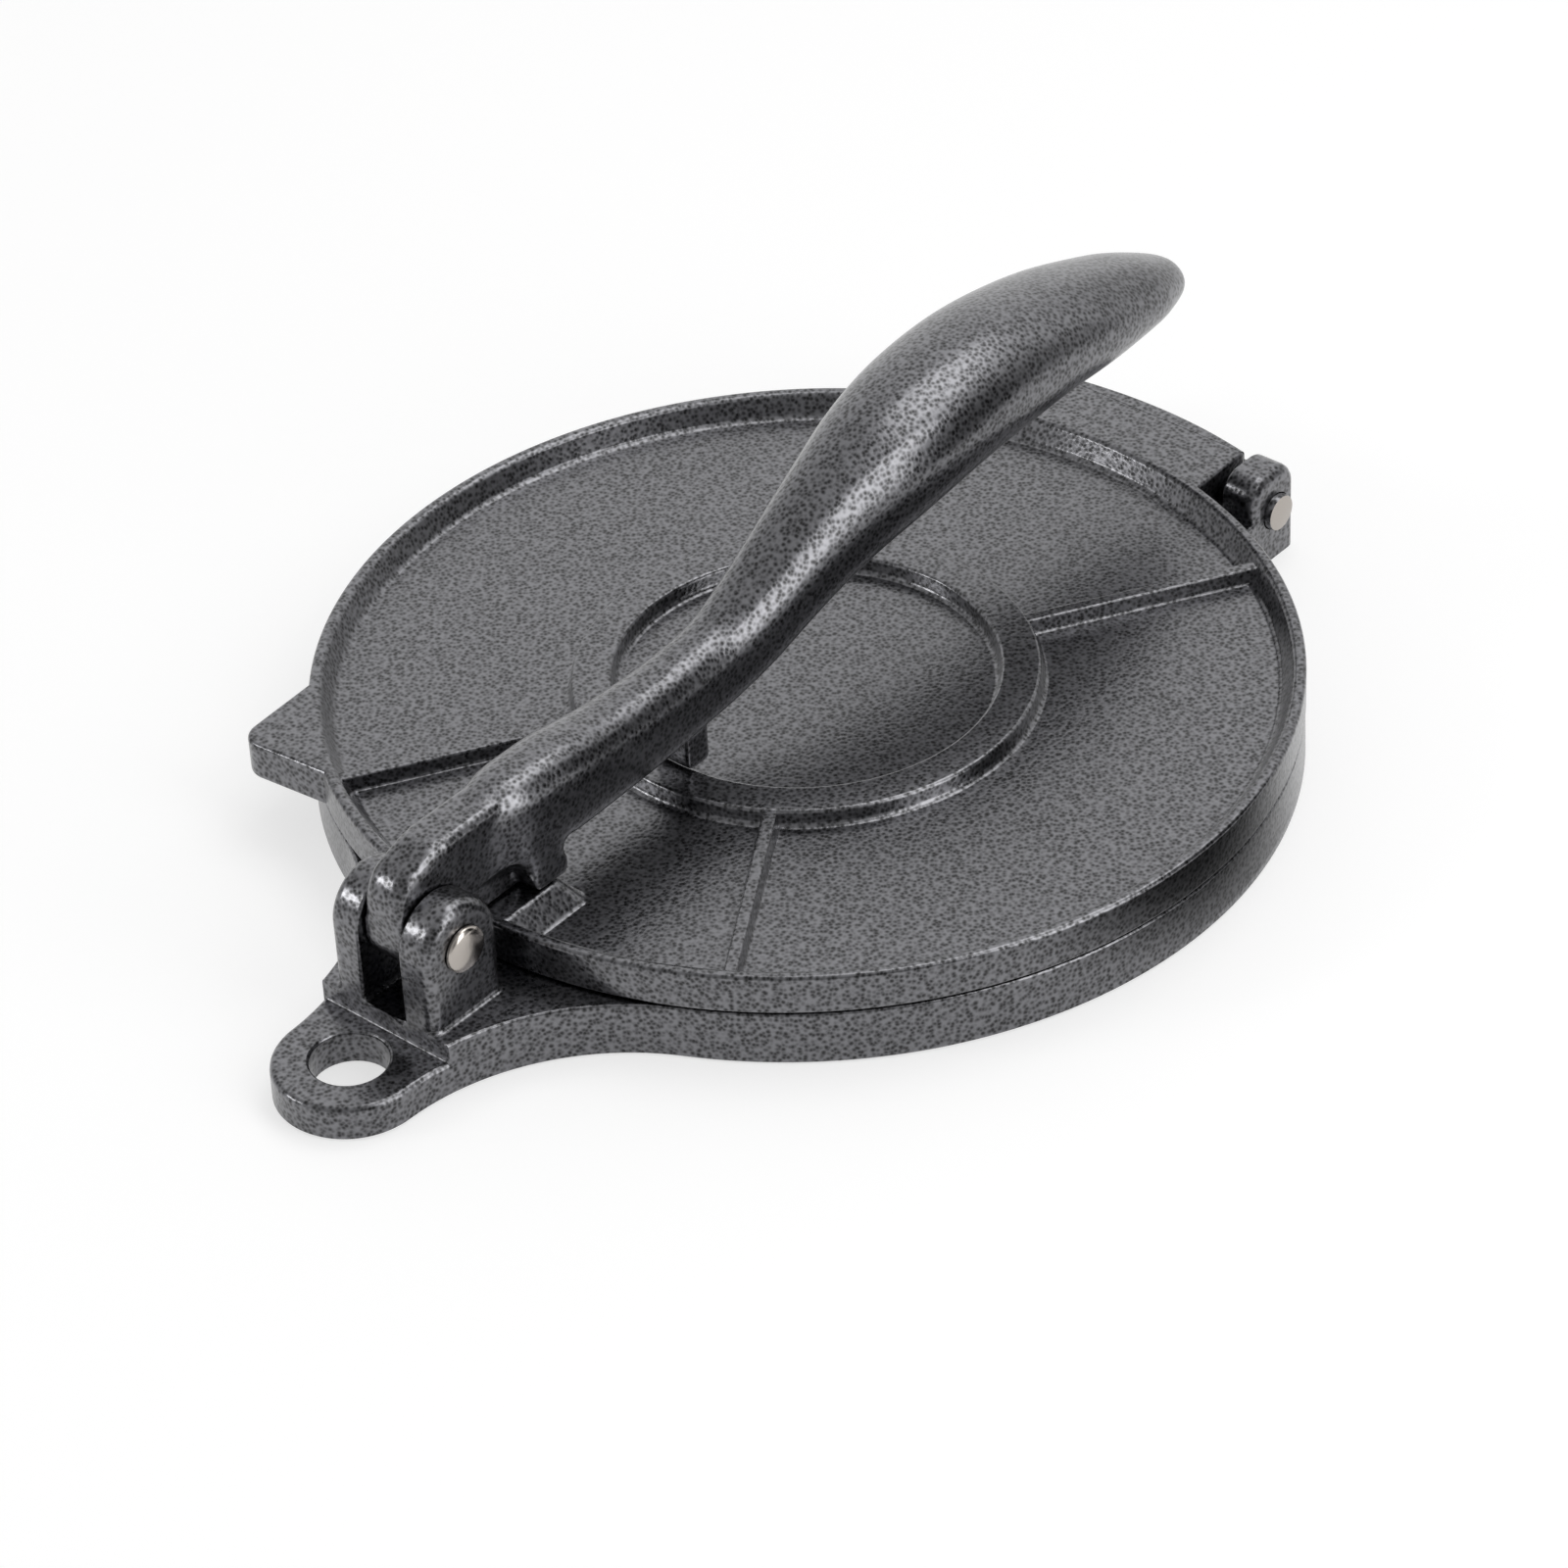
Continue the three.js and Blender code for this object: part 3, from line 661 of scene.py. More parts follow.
slab = two_level_slab()
report(slab)
round_edges(slab, DECK_ROUND, lambda edge: level_at(edge, BASE_HEIGHT) and not on_riser(edge))
round_edges(slab, EYE_ROUND, lambda edge: level_at(edge, EYE_HEIGHT) and not on_riser(edge) and sharp(edge))
round_edges(slab, FOOT_INSET, lambda edge: level_at(edge, 0) and sharp(edge), 1)
face_out(slab)
report(slab)

# %% [markdown]
# ## Ears and lugs
# Two round-topped ears carry the lever's pin, and two lower lugs carry the hinge pin. Each starts
# as a block. A bevel as wide as half the block turns its top into a half round, and smaller bevels
# soften the outline of its two faces. The lugs keep more of the block's shoulders, and a foot
# joins each of them to the skirt.

# %% Model the ears
EAR_INNER = 6.6 * MM
EAR_OUTER = 16.1 * MM
EAR_OUTER_ROUND = 3 * MM
EAR_SLOT_ROUND = 0.8 * MM
ROUND_TOP_STEPS = 24
EAR_ROOT = 2.7 * MM


def along_x(edge):
    return abs(edge.verts[0].co.x - edge.verts[1].co.x) > NEAR


def at_side(edge, side):
    return all(abs(vert.co.x - side) < NEAR for vert in edge.verts)


def round_topped(low, high, radius, side_rounds):
    """A block with a half-round top, and a round along the outline of each of its two faces."""
    piece = block(low, high)
    top = high[2] - NEAR
    round_edges(piece, radius, lambda edge: along_x(edge) and middle(edge).z > top, ROUND_TOP_STEPS)
    face_out(piece)
    for side, size in side_rounds:
        round_edges(piece, size, lambda edge: at_side(edge, side) and middle(edge).z > low[2] + NEAR)
    face_out(piece)
    return piece


def mirrored(piece):
    twin = copy_of(piece)
    twin.data.transform(Matrix.Scale(-1, 4, (1, 0, 0)))
    face_out(twin)
    return twin


ear_low = (EAR_INNER, RISER_Y, BASE_HEIGHT - EAR_ROOT)
ear_high = (EAR_OUTER, LEVER_PIN.y + EAR_RADIUS, LEVER_PIN.z + EAR_RADIUS)
ear_rounds = ((EAR_OUTER, EAR_OUTER_ROUND), (EAR_INNER, EAR_SLOT_ROUND))
ear = round_topped(ear_low, ear_high, EAR_RADIUS, ear_rounds)
report(ear)
join_solids(slab, mirrored(ear), ear)
report(slab)

# %% Model the lugs
LUG_INNER = KNUCKLE_HALF + 2.5 * MM
LUG_THICKNESS = 10.5 * MM
LUG_OUTER = LUG_INNER + LUG_THICKNESS
LUG_FRONT = 9.8 * MM
LUG_REAR = 8.8 * MM
LUG_RISE = 11.8 * MM
LUG_SHOULDER = 6.5 * MM
LUG_OUTER_ROUND = 3 * MM
LUG_ROUND = 1 * MM
LUG_ROOT = 24 * MM

lug_low = (LUG_INNER, HINGE_PIN.y - LUG_FRONT, 0)
lug_high = (LUG_OUTER, HINGE_PIN.y + LUG_REAR, HINGE_PIN.z + LUG_RISE)
lug_rounds = ((LUG_OUTER, LUG_OUTER_ROUND), (LUG_INNER, LUG_ROUND))
lug = round_topped(lug_low, lug_high, LUG_SHOULDER, lug_rounds)
lug_foot = block((LUG_INNER, HINGE_PIN.y - LUG_ROOT, SUNK), (LUG_OUTER, HINGE_PIN.y, BASE_HEIGHT - SUNK))
round_edges(lug_foot, LUG_ROUND, lambda edge: level_at(edge, BASE_HEIGHT - SUNK) and not along_x(edge))
join_solids(lug, lug_foot)
report(lug)
join_solids(slab, mirrored(lug), lug)
report(slab)

# %% [markdown]
# ## Under the base
# A casting is kept thin, so the underside is hollow, with a ring and four ribs that echo those of
# the upper plate. The air is modelled as a solid and cut away: a core with a groove for the ring,
# four slots for the ribs, and a pocket under the tail.

# %% Cut the hollow under the base
BASE_WALL = 4.2 * MM
BASE_ROOF = BASE_HEIGHT - 5.4 * MM
UNDER_RIB_GAP = 1.4 * MM
UNDER_RIB_WIDTH = 4 * MM
UNDER_RING_OUTER = (RING_INNER + RING_OUTER + UNDER_RIB_WIDTH) / 2
UNDER_RING_INNER = UNDER_RING_OUTER - UNDER_RIB_WIDTH
TAIL_WALL = 5 * MM
OVERRUN = 5 * MM


def underside_core():
    wall = PLATE_RADIUS - BASE_WALL
    core = rod(wall, at_height(-OVERRUN), at_height(BASE_ROOF), DISC_STEPS)
    groove = BASE_ROOF - UNDER_RIB_GAP
    edit(core, "FACE")
    pick(core, "faces", faces_up)
    inset_face(wall, UNDER_RING_OUTER + RING_DRAFT)
    pull_face(-groove, UNDER_RING_OUTER + RING_DRAFT, UNDER_RING_OUTER)
    inset_face(UNDER_RING_OUTER, UNDER_RING_INNER)
    pull_face(groove, UNDER_RING_INNER, UNDER_RING_INNER - RING_DRAFT)
    leave_edit()
    face_out(core)
    for radius in (wall, UNDER_RING_OUTER + RING_DRAFT, UNDER_RING_INNER - RING_DRAFT):
        round_circle(core, radius, BASE_ROOF, FOOT_COVE)
    for angle in (RIB_ANGLE, math.pi - RIB_ANGLE, math.pi + RIB_ANGLE, -RIB_ANGLE):
        low = Vector((UNDER_RING_INNER + RING_DRAFT, -UNDER_RIB_WIDTH / 2, UNDER_RIB_GAP)) + CENTRE
        high = Vector((PLATE_RADIUS, UNDER_RIB_WIDTH / 2, BASE_HEIGHT)) + CENTRE
        cut_solids(core, turn_about(block(low, high), CENTRE, angle))
    return core


def tail_pocket():
    pocket = outline(TAIL_WALL)
    thicken(pocket, BASE_ROOF + OVERRUN)
    pocket.data.transform(Matrix.Translation((0, 0, -OVERRUN)))
    near = (-PLATE_RADIUS, RISER_Y + TAIL_WALL, -2 * OVERRUN)
    far = (PLATE_RADIUS, CENTRE_Y - PLATE_RADIUS - BORE_GAP, BASE_HEIGHT)
    return combine(pocket, block(near, far), "INTERSECT")


core = underside_core()
report(core)
pocket = tail_pocket()
report(pocket)
cut_solids(slab, core, pocket)
report(slab)

# %% [markdown]
# The holes come last, so that all the stock that was joined is drilled in one go.

# %% Drill the eye and both bores
EYE_HOLE = 9.6 * MM
EYE_HOLE_ROUND = 0.9 * MM
LEVER_PIN_RADIUS = 5 * MM


def bore_through(piece, centre, radius, axis):
    reach = axis * PLATE_RADIUS
    return cut_solids(piece, rod(radius, centre - reach, centre + reach, ROD_STEPS))


X_AXIS = Vector((1, 0, 0))
Z_AXIS = Vector((0, 0, 1))
bore_through(slab, EYE, EYE_HOLE, Z_AXIS)
bore_through(slab, HINGE_PIN, HINGE_RADIUS + BORE_GAP, X_AXIS)
bore_through(slab, LEVER_PIN, LEVER_PIN_RADIUS + BORE_GAP, X_AXIS)
base = named(slab, "base_casting")
face_out(base)
report(base)

# %% [markdown]
# Some edges are there only now: the rim of the eye, the inner corner at the foot of each ear, and
# both lines of the riser.

# %% Round the last edges of the base
RISER_ROUND = 0.6 * MM
EAR_COVE = 1.2 * MM


def concave(edge):
    return edge.is_manifold and not edge.is_convex and edge.calc_face_angle(0) > math.radians(30)


def at_eye_hole(edge):
    for vert in edge.verts:
        if abs(math.hypot(vert.co.x, vert.co.y - EYE.y) - EYE_HOLE) > CIRCLE_NEAR:
            return False
    return sharp(edge)


def ear_foot(edge):
    near = RISER_Y + NEAR < middle(edge).y < ear_high[1] + NEAR
    return near and level_at(edge, BASE_HEIGHT) and concave(edge)


print("eye hole:", round_edges(base, EYE_HOLE_ROUND, at_eye_hole))
print("ear feet:", round_edges(base, EAR_COVE, ear_foot))
print("riser foot:", round_edges(base, RISER_ROUND, lambda edge: on_riser(edge)
                                 and level_at(edge, EYE_HEIGHT)))
print("riser top:", round_edges(base, RISER_ROUND, lambda edge: on_riser(edge) and level_at(edge, BASE_HEIGHT)
                                and sharp(edge)))
face_out(base)
report(base)

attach(base, "base")
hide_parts("base")
smooth_casting(base)

# %% [markdown]
# ## The lever
# The lever is the one free form here: a squared bar that rises in a swan's neck to a wide paddle.
# Stations along its length give the heights of its underside and crown, its half width, and how
# square its section is. A ring of points is extruded from station to station and set to each
# section. Hub, neck and lobes are then joined to it, and a voxel remesh with a few rounds of
# smoothing melts the joints into fillets, as wax and sand do on the real casting.

# %% Stations of the lever, as on a draughtsman's table
LEVER_REACH = 293.5 * MM
PADDLE_CROWN = 57 * MM
PADDLE_HALF_WIDTH = 20 * MM
TOP_SQUARE_SHARE = 0.22
RING_POINTS = 72
SECTIONS = 150

# along: share of the reach; low and crown: heights above the pin, as shares of the paddle's crown;
# width: share of the paddle's half width; square: the power of the underside's curve.
LEVER_STATIONS = (
    (0.062, 0.035, 0.375, 0.28, 5), (0.085, 0.03, 0.4, 0.36, 5), (0.11, 0.02, 0.42, 0.46, 5),
    (0.145, 0, 0.42, 0.49, 5), (0.175, -0.005, 0.412, 0.495, 5), (0.225, -0.005, 0.38, 0.465, 5),
    (0.275, 0, 0.37, 0.445, 4.8), (0.323, 0.018, 0.377, 0.432, 4.5), (0.37, 0.045, 0.41, 0.445, 4.2),
    (0.414, 0.1, 0.5, 0.5, 3.9), (0.454, 0.175, 0.61, 0.557, 3.6), (0.495, 0.25, 0.72, 0.63, 3.3),
    (0.538, 0.315, 0.82, 0.73, 3), (0.582, 0.365, 0.905, 0.85, 2.8), (0.63, 0.415, 0.965, 0.945, 2.6),
    (0.678, 0.455, 0.995, 0.99, 2.5), (0.732, 0.48, 1, 1, 2.5), (0.787, 0.488, 0.97, 0.985, 2.4),
    (0.85, 0.478, 0.905, 0.93, 2.4), (0.914, 0.465, 0.807, 0.79, 2.3), (0.947, 0.463, 0.745, 0.67, 2.3),
    (0.982, 0.475, 0.66, 0.46, 2.2), (0.996, 0.51, 0.615, 0.24, 2.1), (1, 0.545, 0.575, 0.06, 2))


def between(before, start, end, after, t):
    """A point of the smooth curve through four values, at share t between the middle two."""
    return 0.5 * (2 * start + (end - before) * t + (2 * before - 5 * start + 4 * end - after) * t ** 2
                  + (3 * start - before - 3 * end + after) * t ** 3)


def station_at(share):
    """The values of a section at a share of the way through the table."""
    place = share * (len(LEVER_STATIONS) - 1)
    k = min(int(place), len(LEVER_STATIONS) - 2)
    last = len(LEVER_STATIONS) - 1
    near = [LEVER_STATIONS[max(0, min(last, k + step))] for step in (-1, 0, 1, 2)]
    return [between(*values, place - k) for values in zip(*near)]


def curve_power(value, exponent):
    return math.copysign(abs(value) ** exponent, value)


def section_point(share, index):
    along, low, crown, width, square = station_at(share)
    top_square = 2 + (square - 2) * TOP_SQUARE_SHARE
    angle = 2 * math.pi * (index + 0.5) / RING_POINTS
    power = 2 / (top_square if math.sin(angle) > 0 else square)
    x = width * PADDLE_HALF_WIDTH * curve_power(math.cos(angle), power)
    half = (crown - low) / 2 * PADDLE_CROWN
    z = (low + crown) / 2 * PADDLE_CROWN + half * curve_power(math.sin(angle), power)
    return LEVER_PIN + Vector((x, along * LEVER_REACH, z))


# %% [markdown]
# The first ring is a plain circle of points. Each step extrudes it where it is and moves the new
# points to the next section, so the skin follows the table of stations.

# %% Extrude the ring through the stations
def shank():
    deselect_all()
    bpy.ops.mesh.primitive_circle_add(vertices=RING_POINTS, radius=EAR_RADIUS, fill_type="NGON")
    piece = bpy.context.object
    edit(piece, "VERT")
    bpy.ops.mesh.select_all(action="SELECT")
    for section in range(SECTIONS + 1):
        if section:
            bpy.ops.mesh.extrude_region_move()
        mesh = bmesh.from_edit_mesh(piece.data)
        ring = [vert for vert in mesh.verts if vert.select]
        for index, vert in enumerate(ring):
            vert.co = section_point(section / SECTIONS, index)
        bmesh.update_edit_mesh(piece.data)
    leave_edit()
    face_out(piece)
    return piece


lever_bar = shank()
report(lever_bar)

# %% [markdown]
# The hub is a disc round the pin. The neck is a block on it whose front is pushed down and rounded
# into a nose; it stays low enough to pass the deck when the lever lies right back. The pressing
# lobe pushes on the pad, the resting lobe stops on the ring rib, and a thin web under the neck
# ties hub and pressing lobe together.

# %% Model the hub, the neck and the two lobes
HUB_RADIUS = 9.8 * MM
HUB_HALF_WIDTH = 6.2 * MM
HUB_TOP = 16.9 * MM
HUB_FRONT_ROUND = 6 * MM
HUB_FRONT_STEPS = 12
NECK_START = 4 * MM
NECK_END = 37 * MM
NECK_TOP = 22 * MM
NECK_LOW = 1 * MM
NECK_ROUND = 2.4 * MM
NECK_STEPS = 8
LOBE_ROOT = 8 * MM
LOBE_ROUND = 2 * MM

# Each lobe and the web: start and end behind the pin, and half width.
PRESS_LOBE = (33 * MM, 44 * MM, 9.4 * MM)
PRESS_LEAN = 5 * MM
REST_LOBE = (92 * MM, 100 * MM, 5.5 * MM)
WEB = (8 * MM, 34 * MM, 3 * MM)


def from_pin(x, y, z):
    return LEVER_PIN + Vector((x, y, z))


def hub():
    end = Vector((HUB_HALF_WIDTH, 0, 0))
    boss = rod(HUB_RADIUS, LEVER_PIN - end, LEVER_PIN + end, ROD_STEPS)
    low = from_pin(-HUB_HALF_WIDTH, -HUB_RADIUS, NECK_LOW)
    neck = block(low, from_pin(HUB_HALF_WIDTH, NECK_END, NECK_TOP))
    edit(neck, "VERT")
    bpy.ops.mesh.select_all(action="SELECT")
    bpy.ops.mesh.bisect(plane_co=from_pin(0, NECK_START, 0), plane_no=(0, 1, 0))
    front = low.y + NEAR
    above = low.z + NEAR
    pick(neck, "verts", lambda vert: vert.co.y < front and vert.co.z > above)
    bpy.ops.transform.translate(value=(0, 0, HUB_TOP - NECK_TOP))
    leave_edit()

    def at_nose(edge):
        return along_x(edge) and middle(edge).y < front and middle(edge).z > above

    def at_ridge(edge):
        return not along_x(edge) and min(vert.co.z for vert in edge.verts) > above and sharp(edge)

    print("edges of the nose:", round_edges(neck, HUB_FRONT_ROUND, at_nose, HUB_FRONT_STEPS))
    print("edges of the ridges:", round_edges(neck, NECK_ROUND, at_ridge, NECK_STEPS))
    return join_solids(boss, neck)


def lobe(start, end, half_width, low, lean):
    piece = block(from_pin(-half_width, start, low), from_pin(half_width, end, LOBE_ROOT))
    edit(piece, "VERT")
    pick(piece, "verts", lambda vert: vert.co.y < LEVER_PIN.y + start + NEAR and vert.co.z > LEVER_PIN.z)
    bpy.ops.transform.translate(value=(0, -lean, 0))
    leave_edit()
    foot = LEVER_PIN.z + low
    round_edges(piece, LOBE_ROUND, lambda edge: along_x(edge) and level_at(edge, foot))
    return piece


PRESS_LOW = PLATE_TOP + BORE_GAP - LEVER_PIN.z
REST_LOW = FLOOR_TOP + RING_HEIGHT + BORE_GAP - LEVER_PIN.z
WEB_LOW = PRESS_LOW + BORE_GAP
lever = join_solids(lever_bar, hub(), lobe(*PRESS_LOBE, PRESS_LOW, PRESS_LEAN),
                    lobe(*REST_LOBE, REST_LOW, 0), lobe(*WEB, WEB_LOW, 0))
report(lever)

# %% [markdown]
# The remesh makes one skin of all this, and ten rounds of smoothing melt every joint. More rounds
# go where the metal flows most: into the saddle between neck and pressing lobe, and on the nose.

# %% Melt the joints into fillets and drill the bore
VOXEL = 0.6 * MM
MELT_FACTOR = 0.5
MELT_ROUNDS = 10

# Both places: start and end behind the pin, and low and high above it.
SADDLE = ((17 * MM, 48 * MM), (-3 * MM, 17 * MM))
SADDLE_ROUNDS = 60
NOSE = ((-HUB_RADIUS, 7 * MM), (5 * MM, NECK_TOP))
NOSE_ROUNDS = 30


def melt(piece, along, height, rounds):
    """Smooths the points between two places along the lever and between two heights above the pin."""
    edit(piece, "VERT")
    count = pick(piece, "verts", lambda vert: along[0] < vert.co.y - LEVER_PIN.y < along[1]
                 and height[0] < vert.co.z - LEVER_PIN.z < height[1])
    bpy.ops.mesh.vertices_smooth(factor=MELT_FACTOR, repeat=rounds)
    leave_edit()
    print("melted points:", count)


apply_modifier(lever, "REMESH", mode="VOXEL", voxel_size=VOXEL)
apply_modifier(lever, "SMOOTH", factor=MELT_FACTOR, iterations=MELT_ROUNDS)
melt(lever, *SADDLE, SADDLE_ROUNDS)
melt(lever, *NOSE, NOSE_ROUNDS)
bore_through(lever, LEVER_PIN, LEVER_PIN_RADIUS + BORE_GAP, X_AXIS)
named(lever, "lever_casting")
face_out(lever)
report(lever)

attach(lever, "lever")
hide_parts("lever")
make_active(lever)
bpy.ops.object.shade_smooth_by_angle(angle=SMOOTH_ANGLE)

# %% [markdown]
# ## The pins
# The lever's pin has a domed head on one side and is peened over on the other: its end faces are
# widened and drawn up ring by ring. The hinge pin is a plain rod whose chamfered ends stand out of
# the lugs.

# %% Model the pins
PIN_STEPS = 96
HEAD_RADIUS = 6 * MM
HEAD_HEIGHT = 2.2 * MM
HEAD_RIM = 0.6 * MM
TAIL_RADIUS = 6 * MM
TAIL_HEIGHT = 1.4 * MM
DOME_STEPS = 8
PIN_CHAMFER = 0.6 * MM
CHAMFER_STEPS = 2
SEAT = EAR_OUTER + BORE_GAP


def domed(pin, side, radius, rim, height):
    """Widens the end face at this side, and draws it up step by step into a dome."""
    centre = LEVER_PIN + Vector((side * SEAT, 0, 0))
    edit(pin, "FACE")
    pick(pin, "faces", lambda face: face.normal.x * side > FACING and middle(face).x * side > 0)
    bpy.ops.mesh.extrude_region_move()
    share = radius / LEVER_PIN_RADIUS
    bpy.ops.transform.resize(value=(1, share, share), center_override=centre)
    bpy.ops.mesh.extrude_region_move(TRANSFORM_OT_translate={"value": (side * rim, 0, 0)})
    for step in range(DOME_STEPS):
        turn = math.pi / 2 * step / DOME_STEPS
        next_turn = math.pi / 2 * (step + 1) / DOME_STEPS
        rise = (height - rim) * (math.sin(next_turn) - math.sin(turn))
        share = max(math.cos(next_turn), NEAR) / math.cos(turn)
        bpy.ops.mesh.extrude_region_move(TRANSFORM_OT_translate={"value": (side * rise, 0, 0)})
        bpy.ops.transform.resize(value=(1, share, share), center_override=centre)
    leave_edit()


lever_pin = rod(LEVER_PIN_RADIUS, LEVER_PIN - X_AXIS * SEAT, LEVER_PIN + X_AXIS * SEAT, PIN_STEPS)
domed(lever_pin, 1, HEAD_RADIUS, HEAD_RIM, HEAD_HEIGHT)
domed(lever_pin, -1, TAIL_RADIUS, HEAD_RIM / 2, TAIL_HEIGHT)
face_out(lever_pin)
named(lever_pin, "lever_pin_domed")

hinge_reach = Vector((hinge_pin_high.x, 0, 0))
hinge_pin = rod(HINGE_RADIUS, HINGE_PIN - hinge_reach, HINGE_PIN + hinge_reach, PIN_STEPS)
round_edges(hinge_pin, PIN_CHAMFER, lambda edge: not along_x(edge), CHAMFER_STEPS)
face_out(hinge_pin)
named(hinge_pin, "hinge_pin_rod")

for pin, node in ((lever_pin, "lever_pin"), (hinge_pin, "hinge_pin")):
    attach(pin, "base")
    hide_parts(node)
    make_active(pin)
    bpy.ops.object.shade_smooth_by_angle(angle=SMOOTH_ANGLE)
    report(pin)

# %% [markdown]
# ## Colours and nodes
# Colours are written as hex values, as a paint chart gives them, and one function turns them into
# the linear light that a shader wants. One more adds a node with its settings and its links.

# %% Helpers for materials
def colour(code):
    """Linear RGBA from an sRGB hex value."""
    parts = [int(code[i:i + 2], 16) / 255 for i in (0, 2, 4)]
    linear = [v / 12.92 if v <= 0.04045 else ((v + 0.055) / 1.055) ** 2.4 for v in parts]
    return (*linear, 1)


def add_node(tree, kind, settings=None, links=None):
    """Adds a node; settings are attributes or sockets by name or number, links are sources by socket."""
    node = tree.nodes.new(kind)
    for key, value in (settings or {}).items():
        if isinstance(key, str) and hasattr(node, key):
            setattr(node, key, value)
        else:
            node.inputs[key].default_value = value
    for key, source in (links or {}).items():
        tree.links.new(source, node.inputs[key])
    return node


def new_material(name):
    material = bpy.data.materials.new(name)
    material.use_nodes = True
    material.node_tree.nodes.clear()
    return material, material.node_tree


def finish_material(tree, shader):
    add_node(tree, "ShaderNodeOutputMaterial", links={"Surface": shader.outputs[0]})


def paint(piece, material):
    piece.data.materials.clear()
    piece.data.materials.append(material)


# %% [markdown]
# ## Hammered enamel
# This is a thick paint with aluminium flakes in it, sprayed on the castings and baked. As it dries
# the flakes gather in pale islands and leave dark specks between them. The eye gets a grey that is
# really fine dark specks on pale metal, and soft wet glints from the clear resin on top. So the
# base is a metal whose colour comes from a cell pattern, made uneven with noise, under a coat. The
# islands stand a hair above the specks, which breaks up the edge of each glint.

# %% Mix the enamel
FLECK_SPACING = 1.15 * MM
FLECK_DEPTH = 0.03 * MM


def hammered_enamel():
    material, tree = new_material("hammered_enamel")
    place = add_node(tree, "ShaderNodeTexCoord")
    cells = add_node(tree, "ShaderNodeTexVoronoi", {"Scale": 1 / FLECK_SPACING},
                     {"Vector": place.outputs["Object"]})
    drift = add_node(tree, "ShaderNodeTexNoise", {"Scale": 1 / FLECK_SPACING, "Detail": 0},
                     {"Vector": place.outputs["Object"]})
    uneven = add_node(tree, "ShaderNodeMath", {"operation": "MULTIPLY_ADD", 1: 0.5},
                      {0: drift.outputs["Fac"], 2: cells.outputs["Distance"]})
    flecks = add_node(tree, "ShaderNodeMapRange",
                      {"interpolation_type": "SMOOTHSTEP", "From Min": 0.25, "From Max": 1.15},
                      {"Value": uneven.outputs[0]})
    tone = add_node(tree, "ShaderNodeMix", {"data_type": "RGBA", 6: colour("0e0e10"), 7: colour("86868a")},
                    {0: flecks.outputs[0]})
    bump = add_node(tree, "ShaderNodeBump", {"Strength": 1, "Distance": FLECK_DEPTH},
                    {"Height": flecks.outputs[0]})
    shader = add_node(tree, "ShaderNodeBsdfPrincipled",
                      {"Metallic": 1, "Roughness": 0.3, "Coat Weight": 1, "Coat Roughness": 0.2},
                      {"Base Color": tone.outputs[2], "Normal": bump.outputs[0],
                       "Coat Normal": bump.outputs[0]})
    finish_material(tree, shader)
    return material


enamel = hammered_enamel()
for piece in (top_plate, base, lever):
    paint(piece, enamel)
print(enamel.name, "nodes:", len(enamel.node_tree.nodes))

# %% [markdown]
# ## Turned steel
# The pins are bright steel, turned on a lathe and left bare. The eye gets one pale, slightly warm
# disc with a soft gloss. The turning marks are finer than a render can show, so the change of
# gloss is drawn coarser. The sides of the hinge pin take the dark enamel as painted shade, and
# only its ends show the steel.

# %% Mix the steel
STEEL_GRAIN = 0.8 * MM


def turned_steel():
    material, tree = new_material("turned_bright_steel")
    place = add_node(tree, "ShaderNodeTexCoord")
    grain = add_node(tree, "ShaderNodeTexNoise", {"Scale": 1 / STEEL_GRAIN, "Detail": 3},
                     {"Vector": place.outputs["Object"]})
    rough = add_node(tree, "ShaderNodeMapRange", {"To Min": 0.12, "To Max": 0.22},
                     {"Value": grain.outputs["Fac"]})
    shader = add_node(tree, "ShaderNodeBsdfPrincipled", {"Base Color": colour("c9c2bb"), "Metallic": 1},
                      {"Roughness": rough.outputs[0]})
    finish_material(tree, shader)
    return material


steel = turned_steel()
for piece in (lever_pin, hinge_pin):
    paint(piece, steel)
# The hinge pin's sides take the enamel as painted shade; only its ends stay bare steel.
hinge_pin.data.materials.append(enamel)
for face in hinge_pin.data.polygons:
    face.material_index = int(abs(face.normal.x) < FACING)
print(steel.name, "nodes:", len(steel.node_tree.nodes))

# %% [markdown]
# ## The table
# The table is plain white card that keeps the shadow of the press. For the camera it also glows,
# which makes it as white as a studio sweep and the shadow pale. The paint mirrors it a little
# darker than that, and all other light finds only the card.

# %% Lay the table
FLOOR_SIZE = 12
GLOW_SEEN = 0.62
GLOW_MIRRORED = 0.37


def white_table():
    material, tree = new_material("white_table_card")
    eye = add_node(tree, "ShaderNodeLightPath")
    white = add_node(tree, "ShaderNodeBsdfDiffuse", {"Color": colour("b4b4b4")})
    strength = add_node(tree, "ShaderNodeMath",
                        {"operation": "MULTIPLY_ADD", 1: GLOW_SEEN - GLOW_MIRRORED, 2: GLOW_MIRRORED},
                        {0: eye.outputs["Is Camera Ray"]})
    glow = add_node(tree, "ShaderNodeEmission", links={"Strength": strength.outputs[0]})
    both = add_node(tree, "ShaderNodeAddShader", links={0: white.outputs[0], 1: glow.outputs[0]})
    looking = add_node(tree, "ShaderNodeMath", {"operation": "MAXIMUM"},
                       {0: eye.outputs["Is Camera Ray"], 1: eye.outputs["Is Glossy Ray"]})
    seen = add_node(tree, "ShaderNodeMixShader",
                    links={0: looking.outputs[0], 1: white.outputs[0], 2: both.outputs[0]})
    finish_material(tree, seen)
    return material


deselect_all()
bpy.ops.mesh.primitive_plane_add(size=FLOOR_SIZE)
floor = named(bpy.context.object, "white_table")
paint(floor, white_table())
print("table, side in m:", FLOOR_SIZE)

# %% [markdown]
# ## The room
# Glossy dark paint shows little but what it mirrors, so the room does most of the work. It is
# white paper, brightest behind and to the left, with soft shades where the photograph's paint
# turns dark. The camera itself sees plain white.

